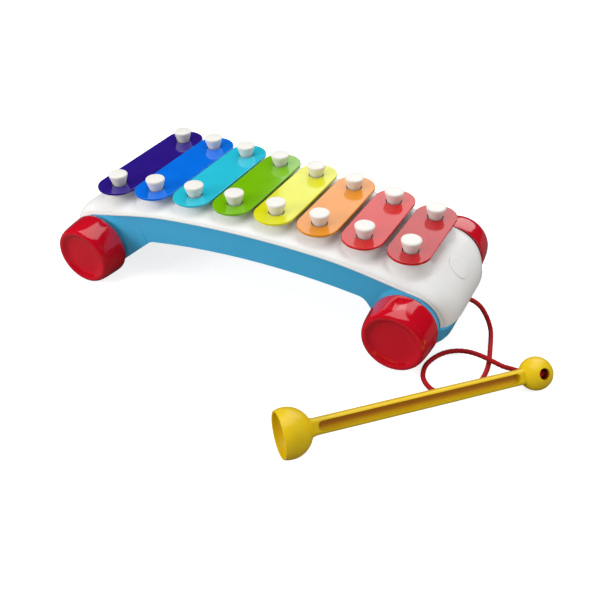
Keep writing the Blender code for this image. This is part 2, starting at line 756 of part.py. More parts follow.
def chassis_tunnels():
    """The tubes that the axles run in, and the screw wells."""
    bm = bmesh.new()
    for x in (-HALF_SPACING, HALF_SPACING):
        reach = rim_line(x) - WHEEL_GAP - CHASSIS_WALL
        profile = [(0, reach), (TUNNEL_RADIUS, reach), (TUNNEL_RADIUS, -reach), (0, -reach)]
        add_turned(bm, profile, SCREW_SIDES, facing(1, x, 0))
    for x, y in screw_places():
        radius = SCREW_WELL_RADIUS + SCREW_WELL_WALL
        low = underside_height(x) + CHASSIS_WALL / 2
        high = SCREW_SEAT_HEIGHT + SCREW_PLATE
        profile = [(0, high), (radius, high), (radius, low), (0, low)]
        add_turned(bm, profile, SCREW_SIDES, Matrix.Translation((x, y, 0)))
    return bm


def chassis_webs():
    """The upright walls that carry the axle tunnels."""
    bm = bmesh.new()
    foot = AXLE_HEIGHT - BOSS_RADIUS + CHASSIS_WALL / 2
    for x in (-HALF_SPACING, HALF_SPACING):
        half = rim_line(x) - CHASSIS_INSET - CHASSIS_WALL * 3 / 4
        outline = [
            Vector((x + along * TUNNEL_WEB / 2, across * half, foot))
            for along, across in ((-1, -1), (1, -1), (1, 1), (-1, 1))
        ]
        rise = AXLE_HEIGHT - TUNNEL_RADIUS / 2 - foot
        add_prism(bm, outline, Vector((0, 0, rise)))
    return bm


def chassis_holes():
    """Axle bores, screw wells with their holes, and the lower part of the cord's hole."""
    bm = bmesh.new()
    for x in (-HALF_SPACING, HALF_SPACING):
        reach = rim_line(x) + CUT_OVERRUN
        radius = hole_radius(AXLE_RADIUS, RUNNING_GAP)
        profile = [(0, reach), (radius, reach), (radius, -reach), (0, -reach)]
        add_turned(bm, profile, SCREW_SIDES, facing(1, x, 0))
    for x, y in screw_places():
        low = underside_height(x) - CUT_OVERRUN
        hole = hole_radius(SCREW_RADIUS, SEAT_GAP)
        high = SCREW_SEAT_HEIGHT + SCREW_PLATE + CUT_OVERRUN
        profile = [
            (0, high),
            (hole, high),
            (hole, SCREW_SEAT_HEIGHT),
            (SCREW_WELL_RADIUS, SCREW_SEAT_HEIGHT),
            (SCREW_WELL_RADIUS, low),
            (0, low),
        ]
        add_turned(bm, profile, SCREW_SIDES, Matrix.Translation((x, y, 0)))
    add_cord_hole(bm)
    return bm


def make_screws():
    seat = -SEAT_GAP
    profile = [
        (0, SCREW_LENGTH),
        (SCREW_RADIUS, SCREW_LENGTH - SCREW_RADIUS),
        (SCREW_RADIUS, seat),
        (SCREW_HEAD_RADIUS, seat),
        (SCREW_HEAD_RADIUS, seat - SCREW_HEAD_HEIGHT / 2),
        (SCREW_HEAD_RADIUS / 2, seat - SCREW_HEAD_HEIGHT),
        (0, seat - SCREW_HEAD_HEIGHT),
    ]
    screw = turned_mesh("screw", profile, SCREW_SIDES)
    for number, (x, y) in enumerate(screw_places(), 1):
        place = Matrix.Translation((x, y, SCREW_SEAT_HEIGHT))
        add_object(f"lid_screw_{number}", screw, "steel", place)


def wheel_profile():
    """A wheel from its dished face to its hollow back. Height 0 is the inner rim."""
    dish = WHEEL_FACE_RADIUS - WHEEL_DISH_RIM
    rounding = WHEEL_SHOULDER_DEPTH
    outer = [
        (0, WHEEL_WIDTH - WHEEL_DISH_DEPTH),
        (dish, WHEEL_WIDTH - WHEEL_DISH_DEPTH),
        (WHEEL_FACE_RADIUS, WHEEL_WIDTH),
        (WHEEL_SHOULDER_RADIUS * 2 / 3 + WHEEL_FACE_RADIUS / 3, WHEEL_WIDTH - rounding / 4),
        (WHEEL_SHOULDER_RADIUS, WHEEL_WIDTH - rounding),
        (WHEEL_RADIUS, WHEEL_TREAD_LAND),
        (WHEEL_RADIUS, 0),
    ]
    inner_radius = WHEEL_FACE_RADIUS - WHEEL_WALL
    floor = WHEEL_WIDTH - WHEEL_DISH_DEPTH - WHEEL_WALL
    bore = AXLE_RADIUS + SEAT_GAP
    inner = [
        (WHEEL_RADIUS - WHEEL_WALL, 0),
        (inner_radius, floor),
        (HUB_RADIUS, floor),
        (HUB_RADIUS, -HUB_PROUD),
        (bore, -HUB_PROUD),
        (bore, AXLE_HUB_DEPTH),
        (0, AXLE_HUB_DEPTH),
    ]
    return outer + inner


def make_running_gear():
    wheel = turned_mesh("wheel", wheel_profile(), WHEEL_SIDES)
    for end, x in (("low", -HALF_SPACING), ("nose", HALF_SPACING)):
        reach = rim_line(x) + AXLE_HUB_DEPTH - SEAT_GAP
        profile = [(0, reach), (AXLE_RADIUS, reach), (AXLE_RADIUS, -reach), (0, -reach)]
        axle = turned_mesh(f"{end} axle", profile, SCREW_SIDES)
        add_object(f"axle_{end}", axle, "steel", facing(1, x, 0))
        for row, side in (("front", -1), ("back", 1)):
            add_object(f"wheel_{end}_{row}", wheel, "red_plastic", facing(side, x, rim_line(x)))


def mallet_place():
    """The ball's centre, with local X towards the cup and local Z along the ball's hole."""
    to_cup = MALLET_LENGTH - cup_set_back()
    dip = math.asin((CUP_RADIUS - BALL_RADIUS) / to_cup)
    heading = Matrix.Rotation(MALLET_HEADING, 4, "Z")
    pitch = Matrix.Rotation(-dip, 4, "Y")
    roll = Matrix.Rotation(MALLET_ROLL - math.pi / 2, 4, "X")
    return Matrix.Translation((BALL_X, BALL_Y, BALL_RADIUS)) @ heading @ pitch @ roll


def cup_set_back():
    """How far the middle of the round cup lies behind its rim."""
    return math.sqrt(CUP_RADIUS**2 - CUP_RIM_RADIUS**2)


def cup_profile():
    """The turned cup from its neck, which ends inside the shaft, round the rim to its floor."""
    middle = MALLET_LENGTH - cup_set_back()
    neck_angle = math.asin(NECK_RADIUS / CUP_RADIUS)
    neck = middle - CUP_RADIUS * math.cos(neck_angle)
    core = SHAFT_THICKNESS / 2 - SEAT_GAP
    points = [(0, neck - 2 * NECK_FILLET), (core, neck - 2 * NECK_FILLET), (core, neck - NECK_FILLET)]
    points.append(((core + NECK_RADIUS) / 2, neck - NECK_FILLET / 3))
    rim_angle = math.pi - math.asin(CUP_RIM_RADIUS / CUP_RADIUS)
    for step in range(8):
        angle = neck_angle + (rim_angle - neck_angle) * step / 7
        points.append((CUP_RADIUS * math.sin(angle), middle - CUP_RADIUS * math.cos(angle)))
    inside = CUP_RIM_RADIUS - CUP_WALL
    depth = MALLET_LENGTH - neck - CUP_FLOOR
    for step in range(5, -1, -1):
        angle = math.pi / 2 * step / 5
        points.append((inside * math.sin(angle), MALLET_LENGTH - depth * math.cos(angle)))
    return points


def ball_profile():
    angles = [math.pi * step / 8 for step in range(9)]
    return [(BALL_RADIUS * math.sin(a), -BALL_RADIUS * math.cos(a)) for a in angles]


def shaft_outline(x):
    """The shaft's rounded cross-section at x."""
    points = []
    for corner in range(4):
        side_y = 1 if corner in (0, 3) else -1
        side_z = 1 if corner < 2 else -1
        y = side_y * (SHAFT_HEIGHT / 2 - SHAFT_ROUNDING)
        z = side_z * (SHAFT_THICKNESS / 2 - SHAFT_ROUNDING)
        for step in range(3):
            angle = math.pi / 2 * (corner + step / 2)
            spoke = Vector((0, math.cos(angle), math.sin(angle))) * SHAFT_ROUNDING
            points.append(Vector((x, y, z)) + spoke)
    return points


def make_mallet():
    along_x = Matrix.Rotation(math.pi / 2, 4, "Y")
    place = mallet_place()
    bm = bmesh.new()
    add_turned(bm, cup_profile(), MALLET_SIDES, along_x)
    mallet = add_object("mallet", finish_mesh("mallet", bm), "yellow_plastic", place)
    bm = bmesh.new()
    add_turned(bm, ball_profile(), MALLET_SIDES, along_x)
    boolean(mallet, "UNION", helper_object("mallet ball", bm, place))
    bm = bmesh.new()
    shaft_end = MALLET_LENGTH - cup_set_back() - CUP_RADIUS + NECK_FILLET / 2
    add_prism(bm, shaft_outline(0), Vector((shaft_end, 0, 0)))
    boolean(mallet, "UNION", helper_object("mallet shaft", bm, place))

    bm = bmesh.new()
    radius = GROOVE_HEIGHT / 2
    start = GROOVE_FROM_BALL + radius
    end = MALLET_LENGTH - GROOVE_FROM_RIM - radius
    for side in (1, -1):
        outline = []
        for centre, first in ((end, -1), (start, 1)):
            for step in range(7):
                angle = first * math.pi / 2 + math.pi * step / 6
                x = centre + radius * math.cos(angle)
                outline.append(Vector((x, radius * math.sin(angle), side * GROOVE_WEB / 2)))
        add_prism(bm, outline, Vector((0, 0, side * SHAFT_THICKNESS)))
    boolean(mallet, "DIFFERENCE", helper_object("mallet grooves", bm, place))

    bm = bmesh.new()
    far = BALL_RADIUS + CUT_OVERRUN
    radius = hole_radius(CORD_DIAMETER / 2, CORD_HOLE_GAP)
    pocket = hole_radius(KNOT_RADIUS, SEAT_GAP)
    profile = [
        (0, far),
        (pocket, far),
        (pocket, -KNOT_POCKET_PAST_CENTRE),
        (radius, -KNOT_POCKET_PAST_CENTRE),
        (radius, -far),
        (0, -far),
    ]
    add_turned(bm, profile, SCREW_SIDES)
    boolean(mallet, "DIFFERENCE", helper_object("mallet cord hole", bm, place))


def knot_mesh():
    """A tight stopper knot: a ball that bulges in three turns."""
    bm = bmesh.new()
    bmesh.ops.create_uvsphere(bm, u_segments=10, v_segments=6, radius=KNOT_RADIUS)
    for vert in bm.verts:
        around = math.atan2(vert.co.y, vert.co.x)
        height = math.asin(max(-1, min(1, vert.co.z / KNOT_RADIUS)))
        vert.co *= 1 - 0.1 * (1 + math.sin(3 * around + 4 * height)) / 2 * math.cos(height)
    return finish_mesh("knot", bm, math.pi)


def cord_points():
    """The cord's middle line, from the knot in the nose to the knot in the mallet's ball."""
    nose_x = HALF_SPACING + CHASSIS_END_RADIUS
    inside = nose_x - CHASSIS_WALL - KNOT_SET_BACK + SEAT_GAP
    start = Vector((inside, 0, CORD_EXIT_HEIGHT))
    ball = mallet_place()
    pocket_floor = Vector((0, 0, -KNOT_POCKET_PAST_CENTRE - SEAT_GAP))
    mouth = Vector((0, 0, -BALL_RADIUS))
    route = [start, Vector((nose_x, 0, CORD_EXIT_HEIGHT))]
    route += [Vector(point) for point in CORD_ROUTE]
    route += [ball @ mouth, ball @ ((mouth + pocket_floor) / 2), ball @ pocket_floor]
    return smooth_route(route, CORD_SAMPLES)


def smooth_route(route, count):
    """Evenly spaced points on a smooth curve through the route's points."""
    fine = []
    padded = [route[0] * 2 - route[1]] + route + [route[-1] * 2 - route[-2]]
    for a, b, c, d in zip(padded, padded[1:], padded[2:], padded[3:]):
        for step in range(12):
            t = step / 12
            point = b * 2 + (c - a) * t + (a * 2 - b * 5 + c * 4 - d) * t**2
            point += (b * 3 - a - c * 3 + d) * t**3
            fine.append(point / 2)
    fine.append(route[-1])
    lengths = [0]
    for first, second in zip(fine, fine[1:]):
        lengths.append(lengths[-1] + (second - first).length)
    points = []
    place = 0
    for step in range(count):
        goal = lengths[-1] * step / (count - 1)
        while place < len(fine) - 2 and lengths[place + 1] < goal:
            place += 1
        share = (goal - lengths[place]) / (lengths[place + 1] - lengths[place])
        points.append(fine[place].lerp(fine[place + 1], min(max(share, 0), 1)))
    return points


def make_cord():
    points = cord_points()
    curve = bpy.data.curves.new("cord", "CURVE")
    curve.dimensions = "3D"
    curve.bevel_depth = CORD_DIAMETER / 2
    curve.bevel_resolution = 2
    curve.use_fill_caps = True
    spline = curve.splines.new("POLY")
    spline.points.add(len(points) - 1)
    for spline_point, point in zip(spline.points, points):
        spline_point.co = (*point, 1)
    add_object("cord", curve, "red_cord")
    knot = knot_mesh()
    nose_inside = HALF_SPACING + CHASSIS_END_RADIUS - CHASSIS_WALL
    nose_knot = Vector((nose_inside - KNOT_SET_BACK - KNOT_RADIUS, 0, CORD_EXIT_HEIGHT))
    add_object("knot_nose", knot, "red_cord", Matrix.Translation(nose_knot))
    pocket_knot = KNOT_RADIUS + SEAT_GAP - KNOT_POCKET_PAST_CENTRE
    place = mallet_place() @ Matrix.Translation((0, 0, pocket_knot))
    add_object("knot_mallet", knot, "red_cord", place)


def stand_on_origin():
    """Moves the toy so that the origin lies on the floor under the middle of its box, cord aside."""
    bpy.context.view_layer.update()
    graph = bpy.context.evaluated_depsgraph_get()
    corners = []
    for obj in bpy.context.scene.objects:
        if obj.hide_render or obj.name == "cord" or obj.name.startswith("knot"):
            continue
        shape = obj.evaluated_get(graph)
        mesh = shape.to_mesh()
        corners += [shape.matrix_world @ vert.co for vert in mesh.vertices]
        shape.to_mesh_clear()
    low = Vector([min(corner[axis] for corner in corners) for axis in range(3)])
    high = Vector([max(corner[axis] for corner in corners) for axis in range(3)])
    shift = Vector((-(low.x + high.x) / 2, -(low.y + high.y) / 2, -low.z))
    for obj in bpy.context.scene.objects:
        obj.matrix_world = Matrix.Translation(shift) @ obj.matrix_world
    bpy.context.view_layer.update()


def main():
    clear_scene()
    make_lid()
    make_chassis()
    make_bars()
    make_pegs()
    make_screws()
    make_running_gear()
    make_mallet()
    make_cord()
    stand_on_origin()


main()
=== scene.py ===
"""Pull-along toy xylophone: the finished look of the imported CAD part, in its own frame.

The camera, the finishes and the cord come first, then the mouldings, the bars, the pegs, the
screws, the mallet, the floor and the light. Lengths are metres. Toy points are measured from the
floor under the middle of the wheelbase, with the nose at +X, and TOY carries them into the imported
frame. A line of pairs holds (radius, height), to be turned about an axis.
"""

import math

import bmesh
import bpy
from mathutils import Matrix, Vector


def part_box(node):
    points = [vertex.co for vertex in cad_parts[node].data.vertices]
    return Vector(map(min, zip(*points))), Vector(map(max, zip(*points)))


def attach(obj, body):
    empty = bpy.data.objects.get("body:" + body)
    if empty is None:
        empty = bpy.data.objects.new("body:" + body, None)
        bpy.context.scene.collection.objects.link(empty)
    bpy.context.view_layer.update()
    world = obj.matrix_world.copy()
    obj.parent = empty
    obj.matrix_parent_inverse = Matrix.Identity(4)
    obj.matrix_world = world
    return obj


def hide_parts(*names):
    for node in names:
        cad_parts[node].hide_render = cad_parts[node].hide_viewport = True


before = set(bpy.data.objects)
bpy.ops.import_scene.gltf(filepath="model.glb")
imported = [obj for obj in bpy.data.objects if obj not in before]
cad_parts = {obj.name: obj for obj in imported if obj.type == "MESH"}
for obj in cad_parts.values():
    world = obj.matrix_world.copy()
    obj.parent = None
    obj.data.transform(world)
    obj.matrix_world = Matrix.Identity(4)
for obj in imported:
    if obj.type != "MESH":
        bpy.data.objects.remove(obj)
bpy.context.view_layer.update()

TOY = Matrix.Translation((-0.0335575, 0.0435881, 0.0))

# Vertices closer than this are one
WELD = 0.000002

# Wheelbase
HALF_WHEELBASE = 0.12055
AXLE_HEIGHT = 0.023943
TRACK_LOW_END = 0.1267
TRACK_NOSE_END = 0.0941

# Wheels: heights count outward from the inner rim
WHEEL_LINE = [
    (0.0, 0.0184),
    (0.0100, 0.0185),
    (0.0136, 0.0187),
    (0.0154, 0.0192),
    (0.0168, 0.0200),
    (0.0179, 0.0208),
    (0.0188, 0.0213),
    (0.0197, 0.0214),
    (0.0206, 0.0212),
    (0.0214, 0.0205),
    (0.0220, 0.0193),
    (0.0225, 0.0174),
    (0.0228, 0.0155),
    (0.0232, 0.0120),
    (0.0236, 0.0070),
    (0.02385, 0.0030),
    (0.0239, 0.0010),
    (0.0237, 0.0002),
    (0.0232, 0.0000),
    (0.0220, 0.0000),
    (0.0217, 0.0006),
    (0.0189, 0.0166),
    (0.0181, 0.0168),
    (0.0056, 0.0168),
    (0.0052, 0.0164),
    (0.0052, -0.0005),
    (0.0024, -0.0005),
    (0.0024, 0.0140),
    (0.0, 0.0140),
]
AXLE_RADIUS = 0.00198
AXLE_END_ROUNDING = 0.0005

# Bars, pegs and cushions: heights count from the bar's top
BAR_NAMES = ["violet", "blue", "cyan", "green", "yellow", "orange", "coral", "red"]
BAR_THICKNESS = 0.0018
BAR_EDGE_ROUNDING = 0.0004
BAR_END_SHARE = 0.998  # of a half circle
PEG_HOLE_RADIUS = 0.0055
PEG_HOLE_ABOVE = 0.003
PEG_HOLE_BELOW = 0.005
PEG_LINE = [
    (0.0, 0.0083),
    (0.0034, 0.00827),
    (0.0054, 0.00817),
    (0.0063, 0.0080),
    (0.0067, 0.0077),
    (0.0069, 0.0072),
    (0.0069, 0.0067),
    (0.00675, 0.0062),
    (0.0064, 0.0050),
    (0.0056, 0.0024),
    (0.0050, 0.0005),
    (0.00488, 0.0001),
    (0.00465, -0.0003),
    (0.0046, -0.0037),
    (0.0024, -0.0037),
    (0.0024, -0.0104),
    (0.0020, -0.0107),
    (0.0, -0.0107),
]
CUSHION_LINE = [
    (0.0056, -0.0037),
    (0.0095, -0.0037),
    (0.0100, -0.0033),
    (0.0100, -0.0026),
    (0.0095, -0.0022),
    (0.0086, -0.0021),
    (0.0061, -0.0021),
    (0.0054, -0.0024),
    (0.0054, -0.0033),
]

# The lid's raised islands, one round each peg. The top counts from the bar's top, and its edge
# is broken in two steps.
ISLAND_TOP = -0.0040
ISLAND_RADIUS = 0.0102
ISLAND_FOOT_RADIUS = 0.0168
ISLAND_EDGE = 0.0007
ISLAND_EDGE_INSIDE = 0.0002
ISLAND_FOOT_UNDER = 0.00002
ISLAND_SUNK = 0.0006

# Lid: the pad's edge is in shares of its radius
DECK_CROWN_HEIGHT = 0.064443
DECK_ARCH_RADIUS = 0.740802
DECK_ARCH_ANGLE = 0.170469
LID_END_RADIUS = 0.0302
LID_END_ANGLE = math.radians(2)
LID_WALL = 0.0024
LID_INSET = 0.0040
SHOULDER_WIDTH_MID = 0.0090
SHOULDER_WIDTH_END = 0.0140
LID_DROP_MID = 0.0046
LID_DROP_END = 0.0080
DROP_STARTS_AT = 0.0600
DROP_ENDS_AT = 0.1350
LID_CORNER_ACROSS = 0.0100
LID_CORNER_ALONG = 0.0160
LIP_HEIGHT = 0.0012
LIP_PROUD = 0.0006
LIP_ROUNDING = 0.3  # of how far it stands proud
SHOULDER_LIMIT = 0.95  # of the shoulder's width, where it grows too steep for a height
NOSE_PAD_ANGLE = math.radians(39)
NOSE_PAD_RADIUS = 0.0086
NOSE_PAD_HEIGHT = 0.00045
NOSE_PAD_SUNK = 0.0006
NOSE_PAD_EDGE = [(0.93, 0.00043), (0.96, 0.00036), (0.98, 0.00022), (0.99, 0.00004)]

# Screws: the head's radii are shares of its own radius, and heights count from its face
SCREW_HEAD_HEIGHT = 0.0020
SCREW_HEAD_LINE = [(0, 0), (0.55, 0.0001), (0.85, 0.0005), (0.98, 0.0011)]
SCREW_SHANK_RADIUS = 0.0013
SCREW_POINT_RADIUS = 0.0006
SCREW_POINT_LENGTH = 0.0010
RECESS_LENGTH_SHARE = 1.1
RECESS_WIDTH_SHARE = 0.24
RECESS_DEPTH = 0.0008

# Mallet: its local X points from the ball to the cup, and local Z along the cord's hole. The
# neck's flare says how far out from its core, and how many fillets short of the cup.
MALLET_PLACE = Matrix(
    (
        (-0.6817577, 0.4461688, 0.5797756, 0.2071),
        (-0.7310950, -0.4443020, -0.5177796, -0.0374),
        (0.0265784, -0.7768714, 0.6290981, 0.0108),
        (0.0, 0.0, 0.0, 1.0),
    )
)
MALLET_LENGTH = 0.1707
BALL_RADIUS = 0.0108
CUP_RADIUS = 0.0152
CUP_RIM_RADIUS = 0.0143
CUP_WALL = 0.0013
CUP_FLOOR = 0.0035
CUP_ARC_FROM_NECK = 0.06
CUP_ARC_FROM_RIM = 0.02
CUP_INSIDE_BELOW_RIM = 0.0003
NECK_RADIUS = 0.0056
NECK_FILLET = 0.0026
NECK_CORE_INSIDE = 0.0003
NECK_FLARE = [(0, 2), (0, 1.4), (0.0002, 1), (0.0006, 0.55), (0.0012, 0.15)]
SHAFT_HEIGHT = 0.0100
SHAFT_THICKNESS = 0.0082
SHAFT_ROUNDING = 0.0024
GROOVE_HEIGHT = 0.0060
GROOVE_WEB = 0.0016
GROOVE_FROM_RIM = 0.0232
GROOVE_FROM_BALL = 0.0130
POCKET_RADIUS = 0.0037
POCKET_PAST_CENTRE = 0.0010
CORD_HOLE_RADIUS = 0.0021
MALLET_EDGE_ROUNDING = 0.0004

# Painted shade in the mallet's recesses: a darker, warmer yellow where the grooves' upper walls and
# the ball's pocket keep light out, full at the first of each pair, gone at the second
GROOVE_SHADE_COLOUR = (0.46, 0.165, 0.0005)
GROOVE_END_FADE = 0.002
GROOVE_UP_FADE = (-0.0002, 0.0034)
GROOVE_WALL_FADE = (0.0028, 0.0034)
GROOVE_MOUTH_FADE = (0.0014, 0.0038)
POCKET_SHADE_COLOUR = (0.30, 0.045, 0.003)
POCKET_WALL_FADE = (POCKET_RADIUS + 0.0001, POCKET_RADIUS + 0.0006)
POCKET_MOUTH_FADE = (0.0078, 0.0101)
POCKET_FLOOR_FADE = (-0.0010, -0.0050)

# Cord
CORD_DIAMETER = 0.0034
BRAID_PITCH = 0.0130
BRAID_STEPS = 18
YARNS_EACH_WAY = 4
CORE_SHARE = 0.72
YARN_WIDTH_SHARE = 0.56
YARN_THICKNESS_SHARE = 0.19
YARN_LIFT = 0.4  # of a yarn's thickness, up and down
KNOT_STEPS = 60
KNOT_SCALE = 0.00072
KNOT_TIGHTNESS = 0.80
KNOT_RISE_MALLET = 3.0
KNOT_RISE_NOSE = 2.0
KNOT_SHIFT_MALLET = 0.0006
CORD_ROUTE = [
    (0.145950, 0.000000, 0.024000),
    (0.152491, 0.000000, 0.023644),
    (0.158181, 0.000000, 0.020571),
    (0.162294, 0.000021, 0.015472),
    (0.165559, -0.000061, 0.009784),
    (0.168531, -0.002290, 0.004508),
    (0.170618, -0.007870, 0.002020),
    (0.172282, -0.014213, 0.001792),
    (0.173900, -0.020574, 0.001799),
    (0.175459, -0.026950, 0.001800),
    (0.176725, -0.033388, 0.001800),
    (0.177307, -0.039924, 0.001800),
    (0.177214, -0.046484, 0.001800),
    (0.176344, -0.052982, 0.001800),
    (0.173871, -0.059030, 0.001800),
    (0.169917, -0.064260, 0.001800),
    (0.165247, -0.068865, 0.001800),
    (0.159712, -0.072331, 0.001800),
    (0.153311, -0.073019, 0.001800),
    (0.147483, -0.070030, 0.001800),
    (0.143128, -0.065180, 0.001800),
    (0.140977, -0.059004, 0.001800),
    (0.140476, -0.052485, 0.001796),
    (0.141816, -0.046074, 0.001776),
    (0.144422, -0.040063, 0.001933),
    (0.148413, -0.034911, 0.002352),
    (0.153935, -0.031512, 0.003159),
    (0.160244, -0.030238, 0.004250),
    (0.166697, -0.030714, 0.005248),
    (0.173119, -0.031948, 0.005755),
    (0.179561, -0.033005, 0.005372),
    (0.185840, -0.032482, 0.003642),
    (0.191717, -0.030221, 0.001923),
    (0.198124, -0.030318, 0.002212),
    (0.202544, -0.033325, 0.005852),
    (0.206346, -0.036727, 0.009982),
]

# Camera, as solved from the photograph, about the toy's own origin
CAMERA_PLACE = (0.23902, -0.4102, 0.3369)
CAMERA_AZIMUTH = math.radians(28.33)
CAMERA_ELEVATION = math.radians(37.79)
CAMERA_ROLL = math.radians(-0.34)
CAMERA_LENS = 44.668
CAMERA_SENSOR = 36

# Floor and light
WHITE = (1, 1, 1)
FLOOR_SIZE = 4
FLOOR_UNDER = 0.0002
FLOOR_PAINT = (0.50, 0.50, 0.50)
FLOOR_GLOW = 0.80
FLOOR_BOUNCE = (0.30, 0.28, 0.26)
FLOOR_MIRRORED = (0.10, 0.10, 0.10)
WORLD_SEEN = 1.0
WORLD_BOUNCE = 0.41
WORLD_MIRRORED = 0.015

# Each panel's name, toy point it faces, place, size, power and whether glossy pieces mirror it
PANELS = [
    ("overhead softbox", (0, 0, 0), (-0.15, 0.10, 1.20), (1.5, 1.1), 8, True),
    ("rear reflector", (0.05, 0, 0.05), (-0.02, 1.00, 0.75), (1.10, 0.90), 5.0, True),
    ("front fill", (0, 0, 0.03), (-0.80, -1.00, 0.50), (0.7, 0.5), 12, False),
    ("nose fill", (0.1, 0, 0.03), (1.20, 0.10, 0.70), (0.6, 0.6), 4.5, False),
]

# Each bar's enamel, as two close tones
BAR_TONES = {
    "violet": ((0.021, 0.006, 0.195), (0.024, 0.007, 0.212)),
    "blue": ((0.000, 0.138, 0.690), (0.000, 0.149, 0.718)),
    "cyan": ((0.017, 0.475, 0.620), (0.020, 0.493, 0.645)),
    "green": ((0.160, 0.440, 0.000), (0.172, 0.457, 0.000)),
    "yellow": ((0.660, 0.665, 0.004), (0.685, 0.685, 0.006)),
    "orange": ((0.690, 0.235, 0.002), (0.715, 0.247, 0.003)),
    "coral": ((0.560, 0.008, 0.008), (0.585, 0.010, 0.010)),
    "red": ((0.455, 0.002, 0.008), (0.475, 0.003, 0.009)),
}


def new_finish(name):
    """A new node material, with its node tree and its shader."""
    finish = bpy.data.materials.new(name)
    finish.use_nodes = True
    return finish, finish.node_tree, finish.node_tree.nodes["Principled BSDF"]


def grain(tree, scale, detail, stretch=(1, 1, 1)):
    """Noise over the piece, in its own coordinates."""
    place = tree.nodes.new("ShaderNodeTexCoord")
    mapping = tree.nodes.new("ShaderNodeMapping")
    mapping.inputs["Scale"].default_value = stretch
    noise = tree.nodes.new("ShaderNodeTexNoise")
    noise.inputs["Scale"].default_value = scale
    noise.inputs["Detail"].default_value = detail
    tree.links.new(place.outputs["Object"], mapping.inputs["Vector"])
    tree.links.new(mapping.outputs["Vector"], noise.inputs["Vector"])
    return noise.outputs["Fac"]


def spread(tree, value, low, high, floor=0.35, ceiling=0.65):
    """The noise's middle range, stretched between two settings."""
    remap = tree.nodes.new("ShaderNodeMapRange")
    remap.inputs["From Min"].default_value = floor
    remap.inputs["From Max"].default_value = ceiling
    remap.inputs["To Min"].default_value = low
    remap.inputs["To Max"].default_value = high
    tree.links.new(value, remap.inputs["Value"])
    return remap.outputs["Result"]


def mix_colours(tree, share, first, second):
    """Two colours, mixed by a share. The first may be another node's output."""
    mix = tree.nodes.new("ShaderNodeMix")
    mix.data_type = "RGBA"
    if isinstance(first, tuple):
        mix.inputs["A"].default_value = (*first, 1)
    else:
        tree.links.new(first, mix.inputs["A"])
    mix.inputs["B"].default_value = (*second, 1)
    tree.links.new(share, mix.inputs["Factor"])
    return mix.outputs["Result"]


def vary_colour(tree, shader, noise, tones):
    """Two close tones of one colour, mixed by the noise."""
    mixed = mix_colours(tree, spread(tree, noise, 0, 1), *tones)
    tree.links.new(mixed, shader.inputs["Base Color"])


def vary_roughness(tree, shader, noise, low, high):
    """A roughness that the noise takes from low to high."""
    tree.links.new(spread(tree, noise, low, high), shader.inputs["Roughness"])


def raise_grain(tree, shader, height, strength, distance):
    """A fine relief from the noise, as deep as the distance."""
    bump = tree.nodes.new("ShaderNodeBump")
    bump.inputs["Strength"].default_value = strength
    bump.inputs["Distance"].default_value = distance
    tree.links.new(height, bump.inputs["Height"])
    tree.links.new(bump.outputs["Normal"], shader.inputs["Normal"])


def ease(tree, value, full, none):
    """From one at the first setting to none at the second."""
    return spread(tree, value, 1, 0, full, none)


def combine(tree, operation, first, second=None):
    """One step of sums on a node's output, with a number or with another output."""
    node = tree.nodes.new("ShaderNodeMath")
    node.operation = operation
    tree.links.new(first, node.inputs[0])
    if isinstance(second, float):
        node.inputs[1].default_value = second
    elif second is not None:
        tree.links.new(second, node.inputs[1])
    return node.outputs["Value"]


def own_axes(tree, place):
    """A placed piece's own X, Y and Z, read from its coordinates."""
    where = tree.nodes.new("ShaderNodeTexCoord")
    found = []
    for axis in range(3):
        line = place.to_3x3().col[axis]
        node = tree.nodes.new("ShaderNodeVectorMath")
        node.operation = "DOT_PRODUCT"
        node.inputs[1].default_value = line
        tree.links.new(where.outputs["Object"], node.inputs[0])
        start = float(place.translation.dot(line))
        found.append(combine(tree, "SUBTRACT", node.outputs["Value"], start))
    return found


def product(tree, *values):
    """Several outputs, multiplied together."""
    result = values[0]
    for value in values[1:]:
        result = combine(tree, "MULTIPLY", result, value)
    return result


def moulded_plastic(name, *tones, roughness, coat, depth=0.0):
    """Injection-moulded plastic: faint flow marks, a fine skin and an even gloss."""
    finish, tree, shader = new_finish(name)
    flow = grain(tree, scale=38, detail=3)
    skin = grain(tree, scale=1500, detail=2)
    vary_colour(tree, shader, flow, tones)
    vary_roughness(tree, shader, flow, roughness - 0.01, roughness + 0.015)
    raise_grain(tree, shader, skin, strength=0.05, distance=0.00002)
    shader.inputs["Coat Weight"].default_value = coat
    shader.inputs["Coat Roughness"].default_value = 0.06
    shader.inputs["Subsurface Weight"].default_value = depth
    shader.inputs["Subsurface Radius"].default_value = (0.004, 0.003, 0.002)
    shader.inputs["Subsurface Scale"].default_value = 0.4
    return finish


